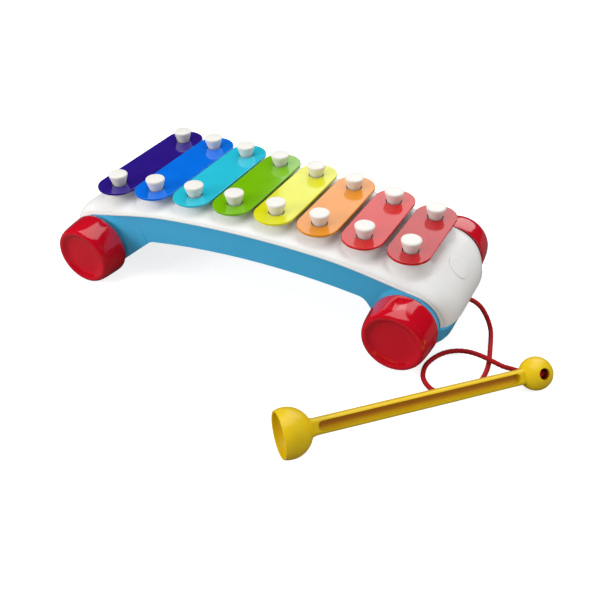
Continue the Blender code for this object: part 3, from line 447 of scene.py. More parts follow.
def paint_recess_shade(finish, place):
    """Painted shade: a darker, warmer yellow down in the shaft's grooves, strongest under their
    upper walls, and in the ball's pocket.
    """
    tree = finish.node_tree
    shader = tree.nodes["Principled BSDF"]
    skin = shader.inputs["Base Color"].links[0].from_socket
    x, y, z = own_axes(tree, place)
    half = (MALLET_LENGTH - GROOVE_FROM_RIM - GROOVE_FROM_BALL) / 2
    along = combine(tree, "ABSOLUTE", combine(tree, "SUBTRACT", x, GROOVE_FROM_BALL + half))
    groove = product(
        tree,
        ease(tree, along, half - GROOVE_END_FADE, half),
        ease(tree, y, *GROOVE_UP_FADE),
        ease(tree, combine(tree, "ABSOLUTE", y), *GROOVE_WALL_FADE),
        ease(tree, combine(tree, "ABSOLUTE", z), *GROOVE_MOUTH_FADE),
    )
    squares = combine(tree, "ADD", product(tree, x, x), product(tree, y, y))
    pocket = product(
        tree,
        ease(tree, combine(tree, "SQRT", squares), *POCKET_WALL_FADE),
        ease(tree, z, *POCKET_MOUTH_FADE),
        ease(tree, z, *POCKET_FLOOR_FADE),
    )
    # Painted shade: the groove and pocket masks darken the base colour
    skin = mix_colours(tree, groove, skin, GROOVE_SHADE_COLOUR)
    skin = mix_colours(tree, pocket, skin, POCKET_SHADE_COLOUR)
    tree.links.new(skin, shader.inputs["Base Color"])


def bar_enamel(name, *tones):
    """Baked enamel on sheet steel: a hard gloss over a slight orange peel."""
    finish, tree, shader = new_finish(name)
    pool = grain(tree, scale=60, detail=2)
    peel = grain(tree, scale=520, detail=1)
    vary_colour(tree, shader, pool, tones)
    vary_roughness(tree, shader, pool, 0.09, 0.13)
    raise_grain(tree, shader, peel, strength=0.03, distance=0.00003)
    shader.inputs["Coat Weight"].default_value = 0.50
    shader.inputs["Coat Roughness"].default_value = 0.03
    return finish


def felt(name, *tones):
    """Pressed wool felt, with loose fibres."""
    finish, tree, shader = new_finish(name)
    fibre = grain(tree, scale=2400, detail=6, stretch=(1, 1, 2.5))
    vary_colour(tree, shader, fibre, tones)
    raise_grain(tree, shader, fibre, strength=0.6, distance=0.0002)
    shader.inputs["Roughness"].default_value = 0.95
    shader.inputs["Sheen Weight"].default_value = 0.5
    return finish


def cord_yarn(name, *tones):
    """Spun polyester yarn: fine filaments with a little sheen."""
    finish, tree, shader = new_finish(name)
    filament = grain(tree, scale=3800, detail=5)
    vary_colour(tree, shader, filament, tones)
    raise_grain(tree, shader, filament, strength=0.45, distance=0.00008)
    shader.inputs["Roughness"].default_value = 0.70
    shader.inputs["Specular IOR Level"].default_value = 0.20
    shader.inputs["Sheen Weight"].default_value = 0.04
    return finish


def drawn_steel(name, *tones, stretch):
    """Bright steel wire, with fine drawing marks along its length."""
    finish, tree, shader = new_finish(name)
    marks = grain(tree, scale=900, detail=4, stretch=stretch)
    vary_colour(tree, shader, marks, tones)
    vary_roughness(tree, shader, marks, 0.26, 0.42)
    raise_grain(tree, shader, marks, strength=0.12, distance=0.00004)
    shader.inputs["Metallic"].default_value = 1.0
    return finish


def make_finishes():
    """Every finish, under the name that the makers below ask for."""
    made = {f"bar_{name}": bar_enamel(f"{name} enamel", *BAR_TONES[name]) for name in BAR_NAMES}
    made["lid"] = moulded_plastic(
        "white lid plastic", (0.805, 0.805, 0.79), (0.812, 0.812, 0.797), roughness=0.30, coat=0.15
    )
    made["chassis"] = moulded_plastic(
        "sky blue chassis plastic",
        (0.050, 0.390, 0.665),
        (0.056, 0.405, 0.690),
        roughness=0.34,
        coat=0.12,
    )
    made["wheel"] = moulded_plastic(
        "red wheel plastic", (0.540, 0.001, 0.012), (0.565, 0.002, 0.014), roughness=0.13, coat=0.80
    )
    made["peg"] = moulded_plastic(
        "white peg plastic",
        (0.75, 0.73, 0.68),
        (0.77, 0.75, 0.705),
        roughness=0.38,
        coat=0.0,
        depth=0.10,
    )
    made["mallet"] = moulded_plastic(
        "yellow mallet plastic",
        (0.735, 0.500, 0.002),
        (0.760, 0.520, 0.003),
        roughness=0.30,
        coat=0.05,
    )
    # Painted shade in the mallet's grooves and pocket
    paint_recess_shade(made["mallet"], TOY @ MALLET_PLACE)
    made["cushion"] = felt("grey felt", (0.50, 0.49, 0.46), (0.66, 0.65, 0.61))
    made["cord"] = cord_yarn("red cord yarn", (0.330, 0.004, 0.008), (0.480, 0.010, 0.014))
    made["axle"] = drawn_steel(
        "axle steel", (0.56, 0.57, 0.58), (0.66, 0.67, 0.68), stretch=(1, 0.04, 1)
    )
    made["screw"] = drawn_steel(
        "screw steel", (0.60, 0.61, 0.62), (0.70, 0.71, 0.72), stretch=(1, 1, 0.2)
    )
    return made


def frames_along(points):
    """A matrix at each point, its Z along the line and turned as little as it can be."""
    places = []
    side = None
    for index, point in enumerate(points):
        before = points[max(index - 1, 0)]
        after = points[min(index + 1, len(points) - 1)]
        ahead = (after - before).normalized()
        if side is None:
            side = ahead.orthogonal()
        side = (side - ahead * side.dot(ahead)).normalized()
        up = ahead.cross(side)
        turn = Matrix((side, up, ahead)).transposed().to_4x4()
        places.append(Matrix.Translation(point) @ turn)
    return places


def even_steps(points, spacing, parts=16):
    """Points at an even spacing along a smooth curve through these ones."""
    fine = []
    longer = [points[0] * 2 - points[1]] + points + [points[-1] * 2 - points[-2]]
    for a, b, c, d in zip(longer, longer[1:], longer[2:], longer[3:]):
        for step in range(parts):
            t = step / parts
            curve = b * 2 + (c - a) * t + (a * 2 - b * 5 + c * 4 - d) * t**2
            fine.append((curve + (b * 3 - a - c * 3 + d) * t**3) / 2)
    fine.append(points[-1])
    even = [fine[0]]
    for point in fine[1:]:
        while (point - even[-1]).length >= spacing:
            share = spacing / (point - even[-1]).length
            even.append(even[-1].lerp(point, share))
    even.append(fine[-1])
    return even


def cad_box(node):
    """A CAD node's lowest corner, highest corner and middle."""
    low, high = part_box(node)
    return low, high, Vector([(a + b) / 2 for a, b in zip(low, high)])


def add_ring(bm, points):
    """A closed ring of edges through the points."""
    verts = [bm.verts.new(point) for point in points]
    return [bm.edges.new(pair) for pair in zip(verts, verts[1:] + verts[:1])]


def skin_rings(bm, rings, capped=True):
    """A skin over rings of edges, with or without a cap at each end."""
    for first, second in zip(rings, rings[1:]):
        bmesh.ops.bridge_loops(bm, edges=first + second)
    if capped:
        for ring in (rings[0], rings[-1]):
            bmesh.ops.contextual_create(bm, geom=ring)


def add_tube(bm, places, width, thickness, sides):
    """An oval tube along a line of places."""
    turns = [2 * math.pi * step / sides for step in range(sides)]
    oval = [Vector((width * math.cos(turn), thickness * math.sin(turn), 0)) for turn in turns]
    skin_rings(bm, [add_ring(bm, [place @ point for point in oval]) for place in places])


def add_braid(bm, points, diameter, pitch):
    """Yarns that wind each way round a core, over and under those that cross them."""
    step_length = pitch / BRAID_STEPS
    line = frames_along(even_steps(points, step_length))
    radius = diameter / 2
    thickness = radius * YARN_THICKNESS_SHARE
    add_tube(bm, line, radius * CORE_SHARE, radius * CORE_SHARE, sides=12)
    for way in (1, -1):
        for yarn in range(YARNS_EACH_WAY):
            places = []
            for index, place in enumerate(line):
                turn = index * step_length / pitch
                angle = way * 2 * math.pi * turn + 2 * math.pi / YARNS_EACH_WAY * yarn
                lift = way * math.cos(2 * math.pi * YARNS_EACH_WAY * turn)
                reach = radius - thickness * (1 + YARN_LIFT) + thickness * YARN_LIFT * lift
                out = Vector((math.cos(angle), math.sin(angle), 0))
                wind = Vector((-out.y, out.x, 0)) * way * 2 * math.pi * reach
                along = (place.to_3x3() @ (wind + Vector((0, 0, pitch)))).normalized()
                outward = (place.to_3x3() @ out).normalized()
                across = outward.cross(along).normalized()
                turned = Matrix((across, outward, along)).transposed().to_4x4()
                places.append(Matrix.Translation(place @ (out * reach)) @ turned)
            add_tube(bm, places, radius * YARN_WIDTH_SHARE, thickness, sides=6)


def add_turned(bm, line, sides, place=Matrix()):
    """A solid turned about Z from a line that starts and ends on the axis."""
    verts = [bm.verts.new(place @ Vector((r, 0, h))) for r, h in line]
    edges = [bm.edges.new(pair) for pair in zip(verts, verts[1:])]
    bmesh.ops.spin(
        bm,
        geom=verts + edges,
        cent=place.translation,
        axis=place.to_3x3() @ Vector((0, 0, 1)),
        angle=2 * math.pi,
        steps=sides,
        use_merge=True,
    )
    bmesh.ops.remove_doubles(bm, verts=bm.verts, dist=WELD)


def add_turned_ring(bm, line, sides, place=Matrix()):
    """A closed line turned about Z, such as a washer."""
    rings = []
    for step in range(sides):
        turn = Matrix.Rotation(2 * math.pi * step / sides, 4, "Z")
        rings.append(add_ring(bm, [place @ turn @ Vector((r, 0, h)) for r, h in line]))
    skin_rings(bm, rings + rings[:1], capped=False)


def turn_out_and_smooth(bm, sharp_angle):
    """Turns the faces outward, and shades them smooth up to an angle."""
    bmesh.ops.recalc_face_normals(bm, faces=bm.faces)
    for face in bm.faces:
        face.smooth = True
    for edge in bm.edges:
        edge.smooth = len(edge.link_faces) == 2 and edge.calc_face_angle() < sharp_angle


def add_piece(name, bm, finish, sharp_angle=math.radians(40)):
    """A piece made of this mesh, which already stands in its place."""
    turn_out_and_smooth(bm, sharp_angle)
    mesh = bpy.data.meshes.new(name)
    bm.to_mesh(mesh)
    bm.free()
    piece = bpy.data.objects.new(name, mesh)
    bpy.context.scene.collection.objects.link(piece)
    if finish is not None:
        mesh.materials.append(finish)
    return piece


def stand_for(piece, body, slot, *nodes):
    """The piece rides on a body, and is shown in place of these CAD nodes."""
    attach(piece, body)
    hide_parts(*nodes)


def shape_with(piece, operation, bm, name):
    """Joins another shape to a piece, or cuts it away, and keeps the result as the piece's mesh."""
    other = add_piece(name, bm, None)
    modifier = piece.modifiers.new(name, "BOOLEAN")
    modifier.operation = operation
    modifier.solver = "EXACT"
    modifier.object = other
    graph = bpy.context.evaluated_depsgraph_get()
    result = bpy.data.meshes.new_from_object(piece.evaluated_get(graph))
    result.name = piece.name
    piece.modifiers.clear()
    old = piece.data
    piece.data = result
    bpy.data.meshes.remove(old)
    tool = other.data
    bpy.data.objects.remove(other)
    bpy.data.meshes.remove(tool)


def even_shading(piece):
    """Keeps flat faces flat in the shading."""
    weights = piece.modifiers.new("even shading", "WEIGHTED_NORMAL")
    weights.keep_sharp = True


def round_edges(piece, width, angle):
    """Rounds the edges sharper than an angle, as a mould or a press leaves them."""
    bevel = piece.modifiers.new("broken edges", "BEVEL")
    bevel.width = width
    bevel.segments = 3
    bevel.limit_method = "ANGLE"
    bevel.angle_limit = angle
    even_shading(piece)


def smooth_share(value, low, high):
    """Eases from 0 at low to 1 at high."""
    share = min(max((value - low) / (high - low), 0), 1)
    return share * share * (3 - 2 * share)


def rim_line(x):
    """Half the distance between the wheels' inner rims, at x along the tapered body."""
    share = (x + HALF_WHEELBASE) / (2 * HALF_WHEELBASE)
    return (TRACK_LOW_END + (TRACK_NOSE_END - TRACK_LOW_END) * share) / 2


def deck_stations(arch_steps=56, end_steps=22):
    """Points and outward normals along the deck's side view, from the low end to the nose."""
    centre_z = DECK_CROWN_HEIGHT - DECK_ARCH_RADIUS
    last = math.pi / 2 - LID_END_ANGLE
    turn = last - DECK_ARCH_ANGLE
    stations = []
    for step in range(end_steps):
        angle = -last + turn * step / end_steps
        stations.append((-HALF_WHEELBASE, AXLE_HEIGHT, LID_END_RADIUS, angle))
    for step in range(arch_steps + 1):
        angle = DECK_ARCH_ANGLE * (2 * step / arch_steps - 1)
        stations.append((0, centre_z, DECK_ARCH_RADIUS, angle))
    for step in range(1, end_steps + 1):
        angle = DECK_ARCH_ANGLE + turn * step / end_steps
        stations.append((HALF_WHEELBASE, AXLE_HEIGHT, LID_END_RADIUS, angle))
    places = []
    for x, z, radius, angle in stations:
        normal = Vector((math.sin(angle), 0, math.cos(angle)))
        places.append((Vector((x, 0, z)) + normal * radius, normal))
    return places


def lid_corner(x):
    """How much the lid draws in at x, to round its corners as seen from above."""
    start = HALF_WHEELBASE + LID_END_RADIUS - LID_CORNER_ALONG
    share = min(max((abs(x) - start) / LID_CORNER_ALONG, 0), 1)
    return LID_CORNER_ACROSS * (1 - math.sqrt(1 - share * share))


def lid_shoulder(x):
    """The lid's half width, its shoulder's width and the whole drop to its edge, at x."""
    half = rim_line(x) - LID_INSET - LIP_PROUD
    share = smooth_share(abs(x), DROP_STARTS_AT, DROP_ENDS_AT)
    width = SHOULDER_WIDTH_MID + (SHOULDER_WIDTH_END - SHOULDER_WIDTH_MID) * share
    return half, width, LID_DROP_MID + (LID_DROP_END - LID_DROP_MID) * share


def lid_section(x, steps=12):
    """The lid's cross-section at x, as (sideways, depth below the deck) pairs."""
    half, width, drop = lid_shoulder(x)
    fall = drop - LIP_HEIGHT
    outer = []
    for step in range(steps + 1):
        angle = math.pi / 2 * step / steps
        outer.append((half - width * (1 - math.sin(angle)), fall * (1 - math.cos(angle))))
    outer.append((half + LIP_PROUD * (1 - LIP_ROUNDING), fall))
    outer += [(half + LIP_PROUD, fall + LIP_PROUD * LIP_ROUNDING), (half + LIP_PROUD, drop)]
    inner = []
    for step in range(steps // 2, -1, -1):
        angle = math.pi * step / steps
        side = half - width + (width - LID_WALL) * math.sin(angle)
        inner.append((side, LID_WALL + (drop - LID_WALL) * (1 - math.cos(angle))))
    right = outer + inner
    return right + [(-side, depth) for side, depth in reversed(right)]


def add_lid_skin(bm):
    """The lid's shell, from section to section along the arch."""
    rings = []
    for point, normal in deck_stations():
        ring = []
        for side, depth in lid_section(point.x):
            place = point - normal * depth
            drawn_in = math.copysign(lid_corner(place.x), side)
            ring.append(TOY @ (place + Vector((0, side - drawn_in, 0))))
        rings.append(add_ring(bm, ring))
    skin_rings(bm, rings)


def add_nose_pad(bm):
    """A plain round pad, barely proud of the lid, that follows the nose's curve."""
    line = [(step / 8, NOSE_PAD_HEIGHT) for step in range(8)] + NOSE_PAD_EDGE
    line += [(1.0, -NOSE_PAD_SUNK), (0.0, -NOSE_PAD_SUNK)]
    made = bmesh.new()
    add_turned(made, [(r * NOSE_PAD_RADIUS, h) for r, h in line], 64)
    for vert in made.verts:
        angle = NOSE_PAD_ANGLE - vert.co.x / LID_END_RADIUS
        normal = Vector((math.sin(angle), 0, math.cos(angle)))
        surface = Vector((HALF_WHEELBASE, vert.co.y, AXLE_HEIGHT)) + normal * LID_END_RADIUS
        vert.co = TOY @ (surface + normal * vert.co.z)
    copied = {vert: bm.verts.new(vert.co) for vert in made.verts}
    for face in made.faces:
        bm.faces.new([copied[vert] for vert in face.verts])
    made.free()


def peg_axes():
    """Where each peg stands, as (row, number, point on its axis at its bar's top)."""
    for row in ("front", "back"):
        for number, colour in enumerate(BAR_NAMES, 1):
            axis = cad_box(f"peg_{row}_{number}")[2]
            axis.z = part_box(f"bar_{number}_{colour}")[1][2]
            yield row, number, axis


def lid_height(x, y):
    """The lid's height over its arched stretch, at a toy point."""
    crown = DECK_CROWN_HEIGHT - DECK_ARCH_RADIUS + math.sqrt(DECK_ARCH_RADIUS**2 - x**2)
    half, width, drop = lid_shoulder(x)
    past = min(max(1 - (half - abs(y)) / width, 0), SHOULDER_LIMIT)
    return crown - (drop - LIP_HEIGHT) * (1 - math.sqrt(1 - past**2))


def add_islands(bm, sides=56, steps=9):
    """The raised islands that the bars' ends rest over, blended into the lid all round."""
    edge = [(ISLAND_RADIUS - ISLAND_EDGE, 0)]
    edge.append((ISLAND_RADIUS - ISLAND_EDGE_INSIDE, ISLAND_EDGE_INSIDE))
    slope = []
    for step in range(steps + 1):
        share = step / steps
        reach = ISLAND_RADIUS + (ISLAND_FOOT_RADIUS - ISLAND_RADIUS) * share
        slope.append((reach, 1 - (1 - share) ** 2))
    turns = [2 * math.pi * side / sides for side in range(sides)]
    spokes = [Vector((math.cos(turn), math.sin(turn), 0)) for turn in turns]
    for _, _, axis in peg_axes():
        top = axis.z + ISLAND_TOP
        rings = []
        for reach, depth in edge:
            ring = [axis + spoke * reach for spoke in spokes]
            for point in ring:
                point.z = top - depth
            rings.append(ring)
        for reach, fallen in slope:
            ring = [axis + spoke * reach for spoke in spokes]
            for point in ring:
                local = point - TOY.translation
                lid = lid_height(local.x, local.y) - ISLAND_FOOT_UNDER
                point.z = top - ISLAND_EDGE - (top - ISLAND_EDGE - lid) * fallen
            rings.append(ring)
        rings.append([point - Vector((0, 0, ISLAND_SUNK)) for point in rings[-1]])
        skin_rings(bm, [add_ring(bm, ring) for ring in rings])


def make_lid(finish):
    """The white shell, with its islands and its pad."""
    bm = bmesh.new()
    add_lid_skin(bm)
    add_islands(bm)
    add_nose_pad(bm)
    stand_for(add_piece("lid_moulding", bm, finish), "body", "lid_white", "lid")


def make_chassis(finish):
    """The CAD chassis, with its facets joined and shaded as one surface."""
    bm = bmesh.new()
    bm.from_mesh(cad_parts["chassis"].data)
    bmesh.ops.remove_doubles(bm, verts=bm.verts, dist=WELD)
    bmesh.ops.dissolve_limit(bm, angle_limit=math.radians(0.3), verts=bm.verts, edges=bm.edges)
    piece = add_piece("chassis_moulding", bm, finish, math.radians(45))
    even_shading(piece)
    stand_for(piece, "body", "chassis_blue", "chassis")


def make_wheels(wheel_finish, axle_finish):
    """Each pair of wheels on its rod."""
    for end, x in (("low", -HALF_WHEELBASE), ("nose", HALF_WHEELBASE)):
        for row, side in (("front", -1), ("back", 1)):
            hub = Vector((x, side * rim_line(x), AXLE_HEIGHT))
            place = TOY @ Matrix.Translation(hub) @ Matrix.Rotation(-side * math.pi / 2, 4, "X")
            bm = bmesh.new()
            add_turned(bm, WHEEL_LINE, 96, place)
            wheel = add_piece(f"wheel_{end}_{row}_moulding", bm, wheel_finish, math.radians(50))
            stand_for(wheel, f"wheelset_{end}", "wheel_red", f"wheel_{end}_{row}")
        low, high, middle = cad_box(f"axle_{end}")
        half = (high[1] - low[1]) / 2
        line = [(0, half), (AXLE_RADIUS * 0.8, half), (AXLE_RADIUS, half - AXLE_END_ROUNDING)]
        line += [(r, -h) for r, h in reversed(line)]
        bm = bmesh.new()
        add_turned(bm, line, 40, Matrix.Translation(middle) @ Matrix.Rotation(math.pi / 2, 4, "X"))
        axle = add_piece(f"axle_{end}_rod", bm, axle_finish)
        stand_for(axle, f"wheelset_{end}", "axle_steel", f"axle_{end}")


def make_bars(finishes):
    """Flat plates with round ends and a hole for each peg."""
    axes = {(row, number): axis for row, number, axis in peg_axes()}
    for number, colour in enumerate(BAR_NAMES, 1):
        node = f"bar_{number}_{colour}"
        low, high, middle = cad_box(node)
        width, length = high[0] - low[0], high[1] - low[1]
        bm = bmesh.new()
        bmesh.ops.create_cube(bm, size=1)
        bmesh.ops.scale(bm, verts=bm.verts, vec=(width, length, BAR_THICKNESS))
        bmesh.ops.translate(bm, verts=bm.verts, vec=middle)
        upright = []
        for edge in bm.edges:
            first, second = edge.verts
            if abs(first.co.z - second.co.z) > BAR_THICKNESS / 2:
                upright.append(edge)
        bmesh.ops.bevel(
            bm,
            geom=upright,
            offset=width / 2 * BAR_END_SHARE,
            segments=24,
            profile=0.5,
            affect="EDGES",
            material=-1,
        )
        bar = add_piece(f"{node}_plate", bm, finishes[f"bar_{colour}"])
        line = [(0, PEG_HOLE_ABOVE), (PEG_HOLE_RADIUS, PEG_HOLE_ABOVE)]
        line += [(PEG_HOLE_RADIUS, -PEG_HOLE_BELOW), (0, -PEG_HOLE_BELOW)]
        for row in ("front", "back"):
            hole = bmesh.new()
            add_turned(hole, line, 48, Matrix.Translation(axes[row, number]))
            shape_with(bar, "DIFFERENCE", hole, f"peg hole {row}")
        round_edges(bar, BAR_EDGE_ROUNDING, math.radians(35))
        stand_for(bar, f"bar_{number}", f"bar_{colour}", node)


def make_pegs(peg_finish, cushion_finish):
    """A headed peg through each hole, and the felt cushion round it under the bar."""
    for row, number, axis in peg_axes():
        bm = bmesh.new()
        add_turned(bm, PEG_LINE, 48, Matrix.Translation(axis))
        peg = add_piece(f"peg_{row}_{number}_moulding", bm, peg_finish, math.radians(50))
        stand_for(peg, "body", "peg_white", f"peg_{row}_{number}")
        bm = bmesh.new()
        add_turned_ring(bm, CUSHION_LINE, 40, Matrix.Translation(axis))
        ring = add_piece(f"cushion_{row}_{number}_felt", bm, cushion_finish, math.radians(70))
        stand_for(ring, "body", "cushion_grey", f"cushion_{row}_{number}")


def make_screws(finish):
    """Pan-head screws with a cross recess, deep in the wells under the chassis."""
    for number in range(1, 7):
        low, high, axis = cad_box(f"lid_screw_{number}")
        axis.z = low[2]
        radius = (high[0] - low[0]) / 2
        length = high[2] - low[2]
        line = [(radius * share, height) for share, height in SCREW_HEAD_LINE]
        line.append((line[-1][0], SCREW_HEAD_HEIGHT))
        line.append((SCREW_SHANK_RADIUS, SCREW_HEAD_HEIGHT))
        line.append((SCREW_SHANK_RADIUS, length - SCREW_POINT_LENGTH))
        line += [(SCREW_POINT_RADIUS, length), (0, length)]
        cross = (radius * RECESS_LENGTH_SHARE, radius * RECESS_WIDTH_SHARE, 2 * RECESS_DEPTH)
        bm = bmesh.new()
        add_turned(bm, line, 32, Matrix.Translation(axis))
        screw = add_piece(f"lid_screw_{number}_turned", bm, finish)
        for turn in (0, math.pi / 2):
            slot = bmesh.new()
            bmesh.ops.create_cube(slot, size=1)
            bmesh.ops.scale(slot, verts=slot.verts, vec=cross)
            bmesh.ops.rotate(slot, verts=slot.verts, matrix=Matrix.Rotation(turn, 3, "Z"))
            bmesh.ops.translate(slot, verts=slot.verts, vec=axis)
            shape_with(screw, "DIFFERENCE", slot, "cross recess")
        stand_for(screw, "body", "screw_steel", f"lid_screw_{number}")


def cup_middle():
    """Where the middle of the cup's ball lies along the mallet."""
    return MALLET_LENGTH - math.sqrt(CUP_RADIUS**2 - CUP_RIM_RADIUS**2)


def cup_line(steps=22):
    """The turned cup from its neck, which starts inside the shaft, round the rim to its floor."""
    middle = cup_middle()
    neck_angle = math.asin(NECK_RADIUS / CUP_RADIUS)
    neck = middle - CUP_RADIUS * math.cos(neck_angle)
    core = SHAFT_THICKNESS / 2 - NECK_CORE_INSIDE
    line = [(0, neck - 2 * NECK_FILLET)]
    line += [(core + out, neck - fillets * NECK_FILLET) for out, fillets in NECK_FLARE]
    first = neck_angle + CUP_ARC_FROM_NECK
    last = math.pi - math.asin(CUP_RIM_RADIUS / CUP_RADIUS) - CUP_ARC_FROM_RIM
    for step in range(steps):
        angle = first + (last - first) * step / (steps - 1)
        line.append((CUP_RADIUS * math.sin(angle), middle - CUP_RADIUS * math.cos(angle)))
    line.append((CUP_RIM_RADIUS - 0.0002, MALLET_LENGTH - 0.0001))
    line.append((CUP_RIM_RADIUS - CUP_WALL / 2, MALLET_LENGTH))
    inside = CUP_RIM_RADIUS - CUP_WALL
    depth = MALLET_LENGTH - neck - CUP_FLOOR
    for step in range(16, -1, -1):
        angle = math.pi / 2 * step / 16
        drop = depth * math.cos(angle) + CUP_INSIDE_BELOW_RIM
        line.append((inside * math.sin(angle), MALLET_LENGTH - drop))
    return line


def shaft_ring(x, swell):
    """The shaft's rounded cross-section at x."""
    ring = []
    for corner in range(4):
        side_y = 1 if corner in (0, 3) else -1
        side_z = 1 if corner < 2 else -1
        y = side_y * (SHAFT_HEIGHT / 2 - SHAFT_ROUNDING)
        z = side_z * (SHAFT_THICKNESS / 2 - SHAFT_ROUNDING)
        for step in range(7):
            angle = math.pi / 2 * (corner + step / 6)
            spoke = Vector((0, math.cos(angle), math.sin(angle))) * SHAFT_ROUNDING
            ring.append(Vector((x, 0, 0)) + (Vector((0, y, z)) + spoke) * swell)
    return ring


def add_shaft(bm, place):
    """A straight shaft that swells a little where it runs into the cup."""
    end = cup_middle() - CUP_RADIUS + NECK_FILLET / 2
    # Each station's place along the mallet and its swell
    stations = [(0.0020, 0.94), (BALL_RADIUS * 0.85, 0.97), (BALL_RADIUS * 1.35, 0.96)]
    stations += [(0.06, 1.0), (end - 0.0042, 1.0)]
    stations += [(end - 0.0024, 1.03), (end - 0.0010, 1.09), (end, 1.15)]
    rings = []
    for x, swell in stations:
        rings.append(add_ring(bm, [place @ point for point in shaft_ring(x, swell)]))
    skin_rings(bm, rings)


def groove_shape(place, side):
    """The round-ended groove to cut down one side of the shaft."""
    bm = bmesh.new()
    radius = GROOVE_HEIGHT / 2
    start = GROOVE_FROM_BALL + radius
    end = MALLET_LENGTH - GROOVE_FROM_RIM - radius
    outline = []
    for centre, first in ((end, -1), (start, 1)):
        for step in range(17):
            angle = first * math.pi / 2 + math.pi * step / 16
            outline.append((centre + radius * math.cos(angle), radius * math.sin(angle)))
    rings = []
    for reach in (GROOVE_WEB / 2, SHAFT_THICKNESS):
        rings.append(add_ring(bm, [place @ Vector((x, y, side * reach)) for x, y in outline]))
    skin_rings(bm, rings)
    return bm


def make_mallet(finish):
    """One moulding: cup, ball and grooved shaft, with the cord's hole through the ball."""
    place = TOY @ MALLET_PLACE
    along = place @ Matrix.Rotation(math.pi / 2, 4, "Y")
    bm = bmesh.new()
    add_turned(bm, cup_line(), 72, along)
    mallet = add_piece("mallet_moulding", bm, finish)
    bm = bmesh.new()
    bmesh.ops.create_uvsphere(bm, u_segments=64, v_segments=40, radius=BALL_RADIUS, matrix=along)
    shape_with(mallet, "UNION", bm, "ball")
    bm = bmesh.new()
    add_shaft(bm, place)
    shape_with(mallet, "UNION", bm, "shaft")
    for side in (1, -1):
        shape_with(mallet, "DIFFERENCE", groove_shape(place, side), "groove")
    bm = bmesh.new()
    far = BALL_RADIUS + 0.002
    line = [(0, far), (POCKET_RADIUS, far), (POCKET_RADIUS, -POCKET_PAST_CENTRE)]
    line += [(CORD_HOLE_RADIUS, -POCKET_PAST_CENTRE), (CORD_HOLE_RADIUS, -far), (0, -far)]
    add_turned(bm, line, 48, place)
    shape_with(mallet, "DIFFERENCE", bm, "cord hole")
    round_edges(mallet, MALLET_EDGE_ROUNDING, math.radians(38))
    stand_for(mallet, "mallet", "mallet_yellow", "mallet")


def knot_line(rise):
    """A tight overhand knot, as one closed loop. A larger rise makes it longer along its Z."""
    line = []
    for step in range(KNOT_STEPS + 1):
        t = 2 * math.pi * step / KNOT_STEPS
        x = math.sin(t) + 2 * math.sin(2 * t)
        y = math.cos(t) - 2 * math.cos(2 * t)
        line.append(Vector((x, y, -rise * math.sin(3 * t))) * KNOT_SCALE)
    return line


def make_cord(finish):
    """The braided cord from the nose to the ball, and the stopper knot at each end."""
    route = [TOY @ Vector(point) for point in CORD_ROUTE]
    in_pocket = MALLET_PLACE.to_3x3().to_4x4() @ Matrix.Translation((0, 0, KNOT_SHIFT_MALLET))
    in_nose = Matrix.Rotation(math.pi / 2, 4, "Y")
    for end, body, turn, rise in (
        ("mallet", "mallet", in_pocket, KNOT_RISE_MALLET),
        ("nose", "body", in_nose, KNOT_RISE_NOSE),
    ):
        bm = bmesh.new()
        place = Matrix.Translation(cad_box(f"knot_{end}")[2])
        points = [place @ turn @ point for point in knot_line(rise)]
        add_braid(bm, points, CORD_DIAMETER * KNOT_TIGHTNESS, BRAID_PITCH * KNOT_TIGHTNESS)
        knot = add_piece(f"knot_{end}_braid", bm, finish, math.radians(60))
        stand_for(knot, body, "cord_red", f"knot_{end}")
    bm = bmesh.new()
    add_braid(bm, route, CORD_DIAMETER, BRAID_PITCH)
    cord = add_piece("cord_braid", bm, finish, math.radians(60))
    stand_for(cord, "body", "cord_red", "cord")
    length = sum((b - a).length for a, b in zip(route, route[1:]))
    [tuple(point) for point in route]


def make_camera():
    """The photograph's view."""
    across, along = math.cos(CAMERA_AZIMUTH), math.sin(CAMERA_AZIMUTH)
    level = math.cos(CAMERA_ELEVATION)
    right = Vector((across, along, 0))
    back = Vector((along * level, -across * level, math.sin(CAMERA_ELEVATION)))
    turn = Matrix((right, back.cross(right), back)).transposed().to_4x4()
    data = bpy.data.cameras.new("camera")
    data.sensor_width = CAMERA_SENSOR
    data.lens = CAMERA_LENS
    data.clip_start = 0.01
    camera = bpy.data.objects.new("camera", data)
    bpy.context.scene.collection.objects.link(camera)
    eye = Matrix.Translation(TOY @ Vector(CAMERA_PLACE))
    camera.matrix_world = eye @ turn @ Matrix.Rotation(CAMERA_ROLL, 4, "Z")
    bpy.context.scene.camera = camera


def plain_shader(tree, kind, colour, strength=None):
    """A shader of one colour."""
    node = tree.nodes.new(kind)
    node.inputs["Color"].default_value = (*colour, 1)
    if strength is not None:
        node.inputs["Strength"].default_value = strength
    return node.outputs[0]


def show_by_ray(tree, bounced, mirrored, seen, output):
    """One shader for bounced light, one for what glossy pieces mirror, and one for the camera."""
    rays = tree.nodes.new("ShaderNodeLightPath")
    shown = bounced
    for kind, chosen in (("Is Glossy Ray", mirrored), ("Is Camera Ray", seen)):
        pick = tree.nodes.new("ShaderNodeMixShader")
        tree.links.new(rays.outputs[kind], pick.inputs["Fac"])
        tree.links.new(shown, pick.inputs[1])
        tree.links.new(chosen, pick.inputs[2])
        shown = pick.outputs["Shader"]
    tree.links.new(shown, tree.nodes[output].inputs["Surface"])


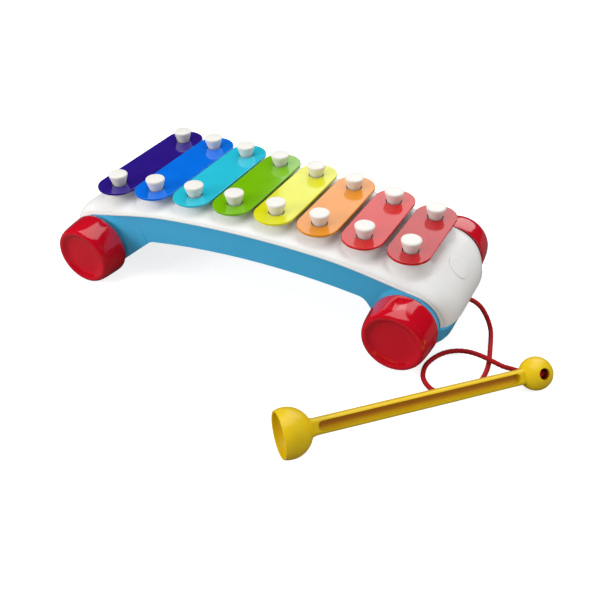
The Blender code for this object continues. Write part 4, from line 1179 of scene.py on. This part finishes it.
def make_floor():
    """A plain white floor, white to the camera and with the toy's soft shadow on it."""
    finish, tree, unused = new_finish("studio floor")
    tree.nodes.remove(unused)
    paint = plain_shader(tree, "ShaderNodeBsdfDiffuse", FLOOR_PAINT)
    glow = plain_shader(tree, "ShaderNodeEmission", WHITE, FLOOR_GLOW)
    seen = tree.nodes.new("ShaderNodeAddShader")
    tree.links.new(paint, seen.inputs[0])
    tree.links.new(glow, seen.inputs[1])
    bounced = plain_shader(tree, "ShaderNodeBsdfDiffuse", FLOOR_BOUNCE)
    mirrored = plain_shader(tree, "ShaderNodeBsdfDiffuse", FLOOR_MIRRORED)
    show_by_ray(tree, bounced, mirrored, seen.outputs["Shader"], "Material Output")
    bm = bmesh.new()
    bmesh.ops.create_grid(bm, x_segments=1, y_segments=1, size=FLOOR_SIZE)
    bmesh.ops.translate(bm, verts=bm.verts, vec=(0, 0, -FLOOR_UNDER))
    floor = add_piece("studio floor", bm, finish)


def add_panel(name, toward, place, size, power, mirrored):
    """A soft light panel that faces a toy point, and shows in glossy pieces or not."""
    data = bpy.data.lights.new(name, "AREA")
    data.shape = "RECTANGLE"
    data.size, data.size_y = size
    data.energy = power
    lamp = bpy.data.objects.new(name, data)
    bpy.context.scene.collection.objects.link(lamp)
    lamp.visible_glossy = mirrored
    aim = Vector(toward) - Vector(place)
    turn = aim.to_track_quat("-Z", "Y").to_matrix().to_4x4()
    lamp.matrix_world = TOY @ Matrix.Translation(place) @ turn


def make_light():
    """A white surround and four soft panels."""
    world = bpy.data.worlds.new("studio")
    bpy.context.scene.world = world
    world.use_nodes = True
    tree = world.node_tree
    tree.nodes.remove(tree.nodes["Background"])
    bounced, mirrored, seen = (
        plain_shader(tree, "ShaderNodeBackground", WHITE, strength)
        for strength in (WORLD_BOUNCE, WORLD_MIRRORED, WORLD_SEEN)
    )
    show_by_ray(tree, bounced, mirrored, seen, "World Output")
    for panel in PANELS:
        add_panel(*panel)


def main():
    """Builds the whole scene."""
    make_camera()
    finishes = make_finishes()
    make_cord(finishes["cord"])
    make_lid(finishes["lid"])
    make_chassis(finishes["chassis"])
    make_wheels(finishes["wheel"], finishes["axle"])
    make_bars(finishes)
    make_pegs(finishes["peg"], finishes["cushion"])
    make_screws(finishes["screw"])
    make_mallet(finishes["mallet"])
    make_floor()
    make_light()
    bpy.context.scene.view_settings.view_transform = "Standard"


main()
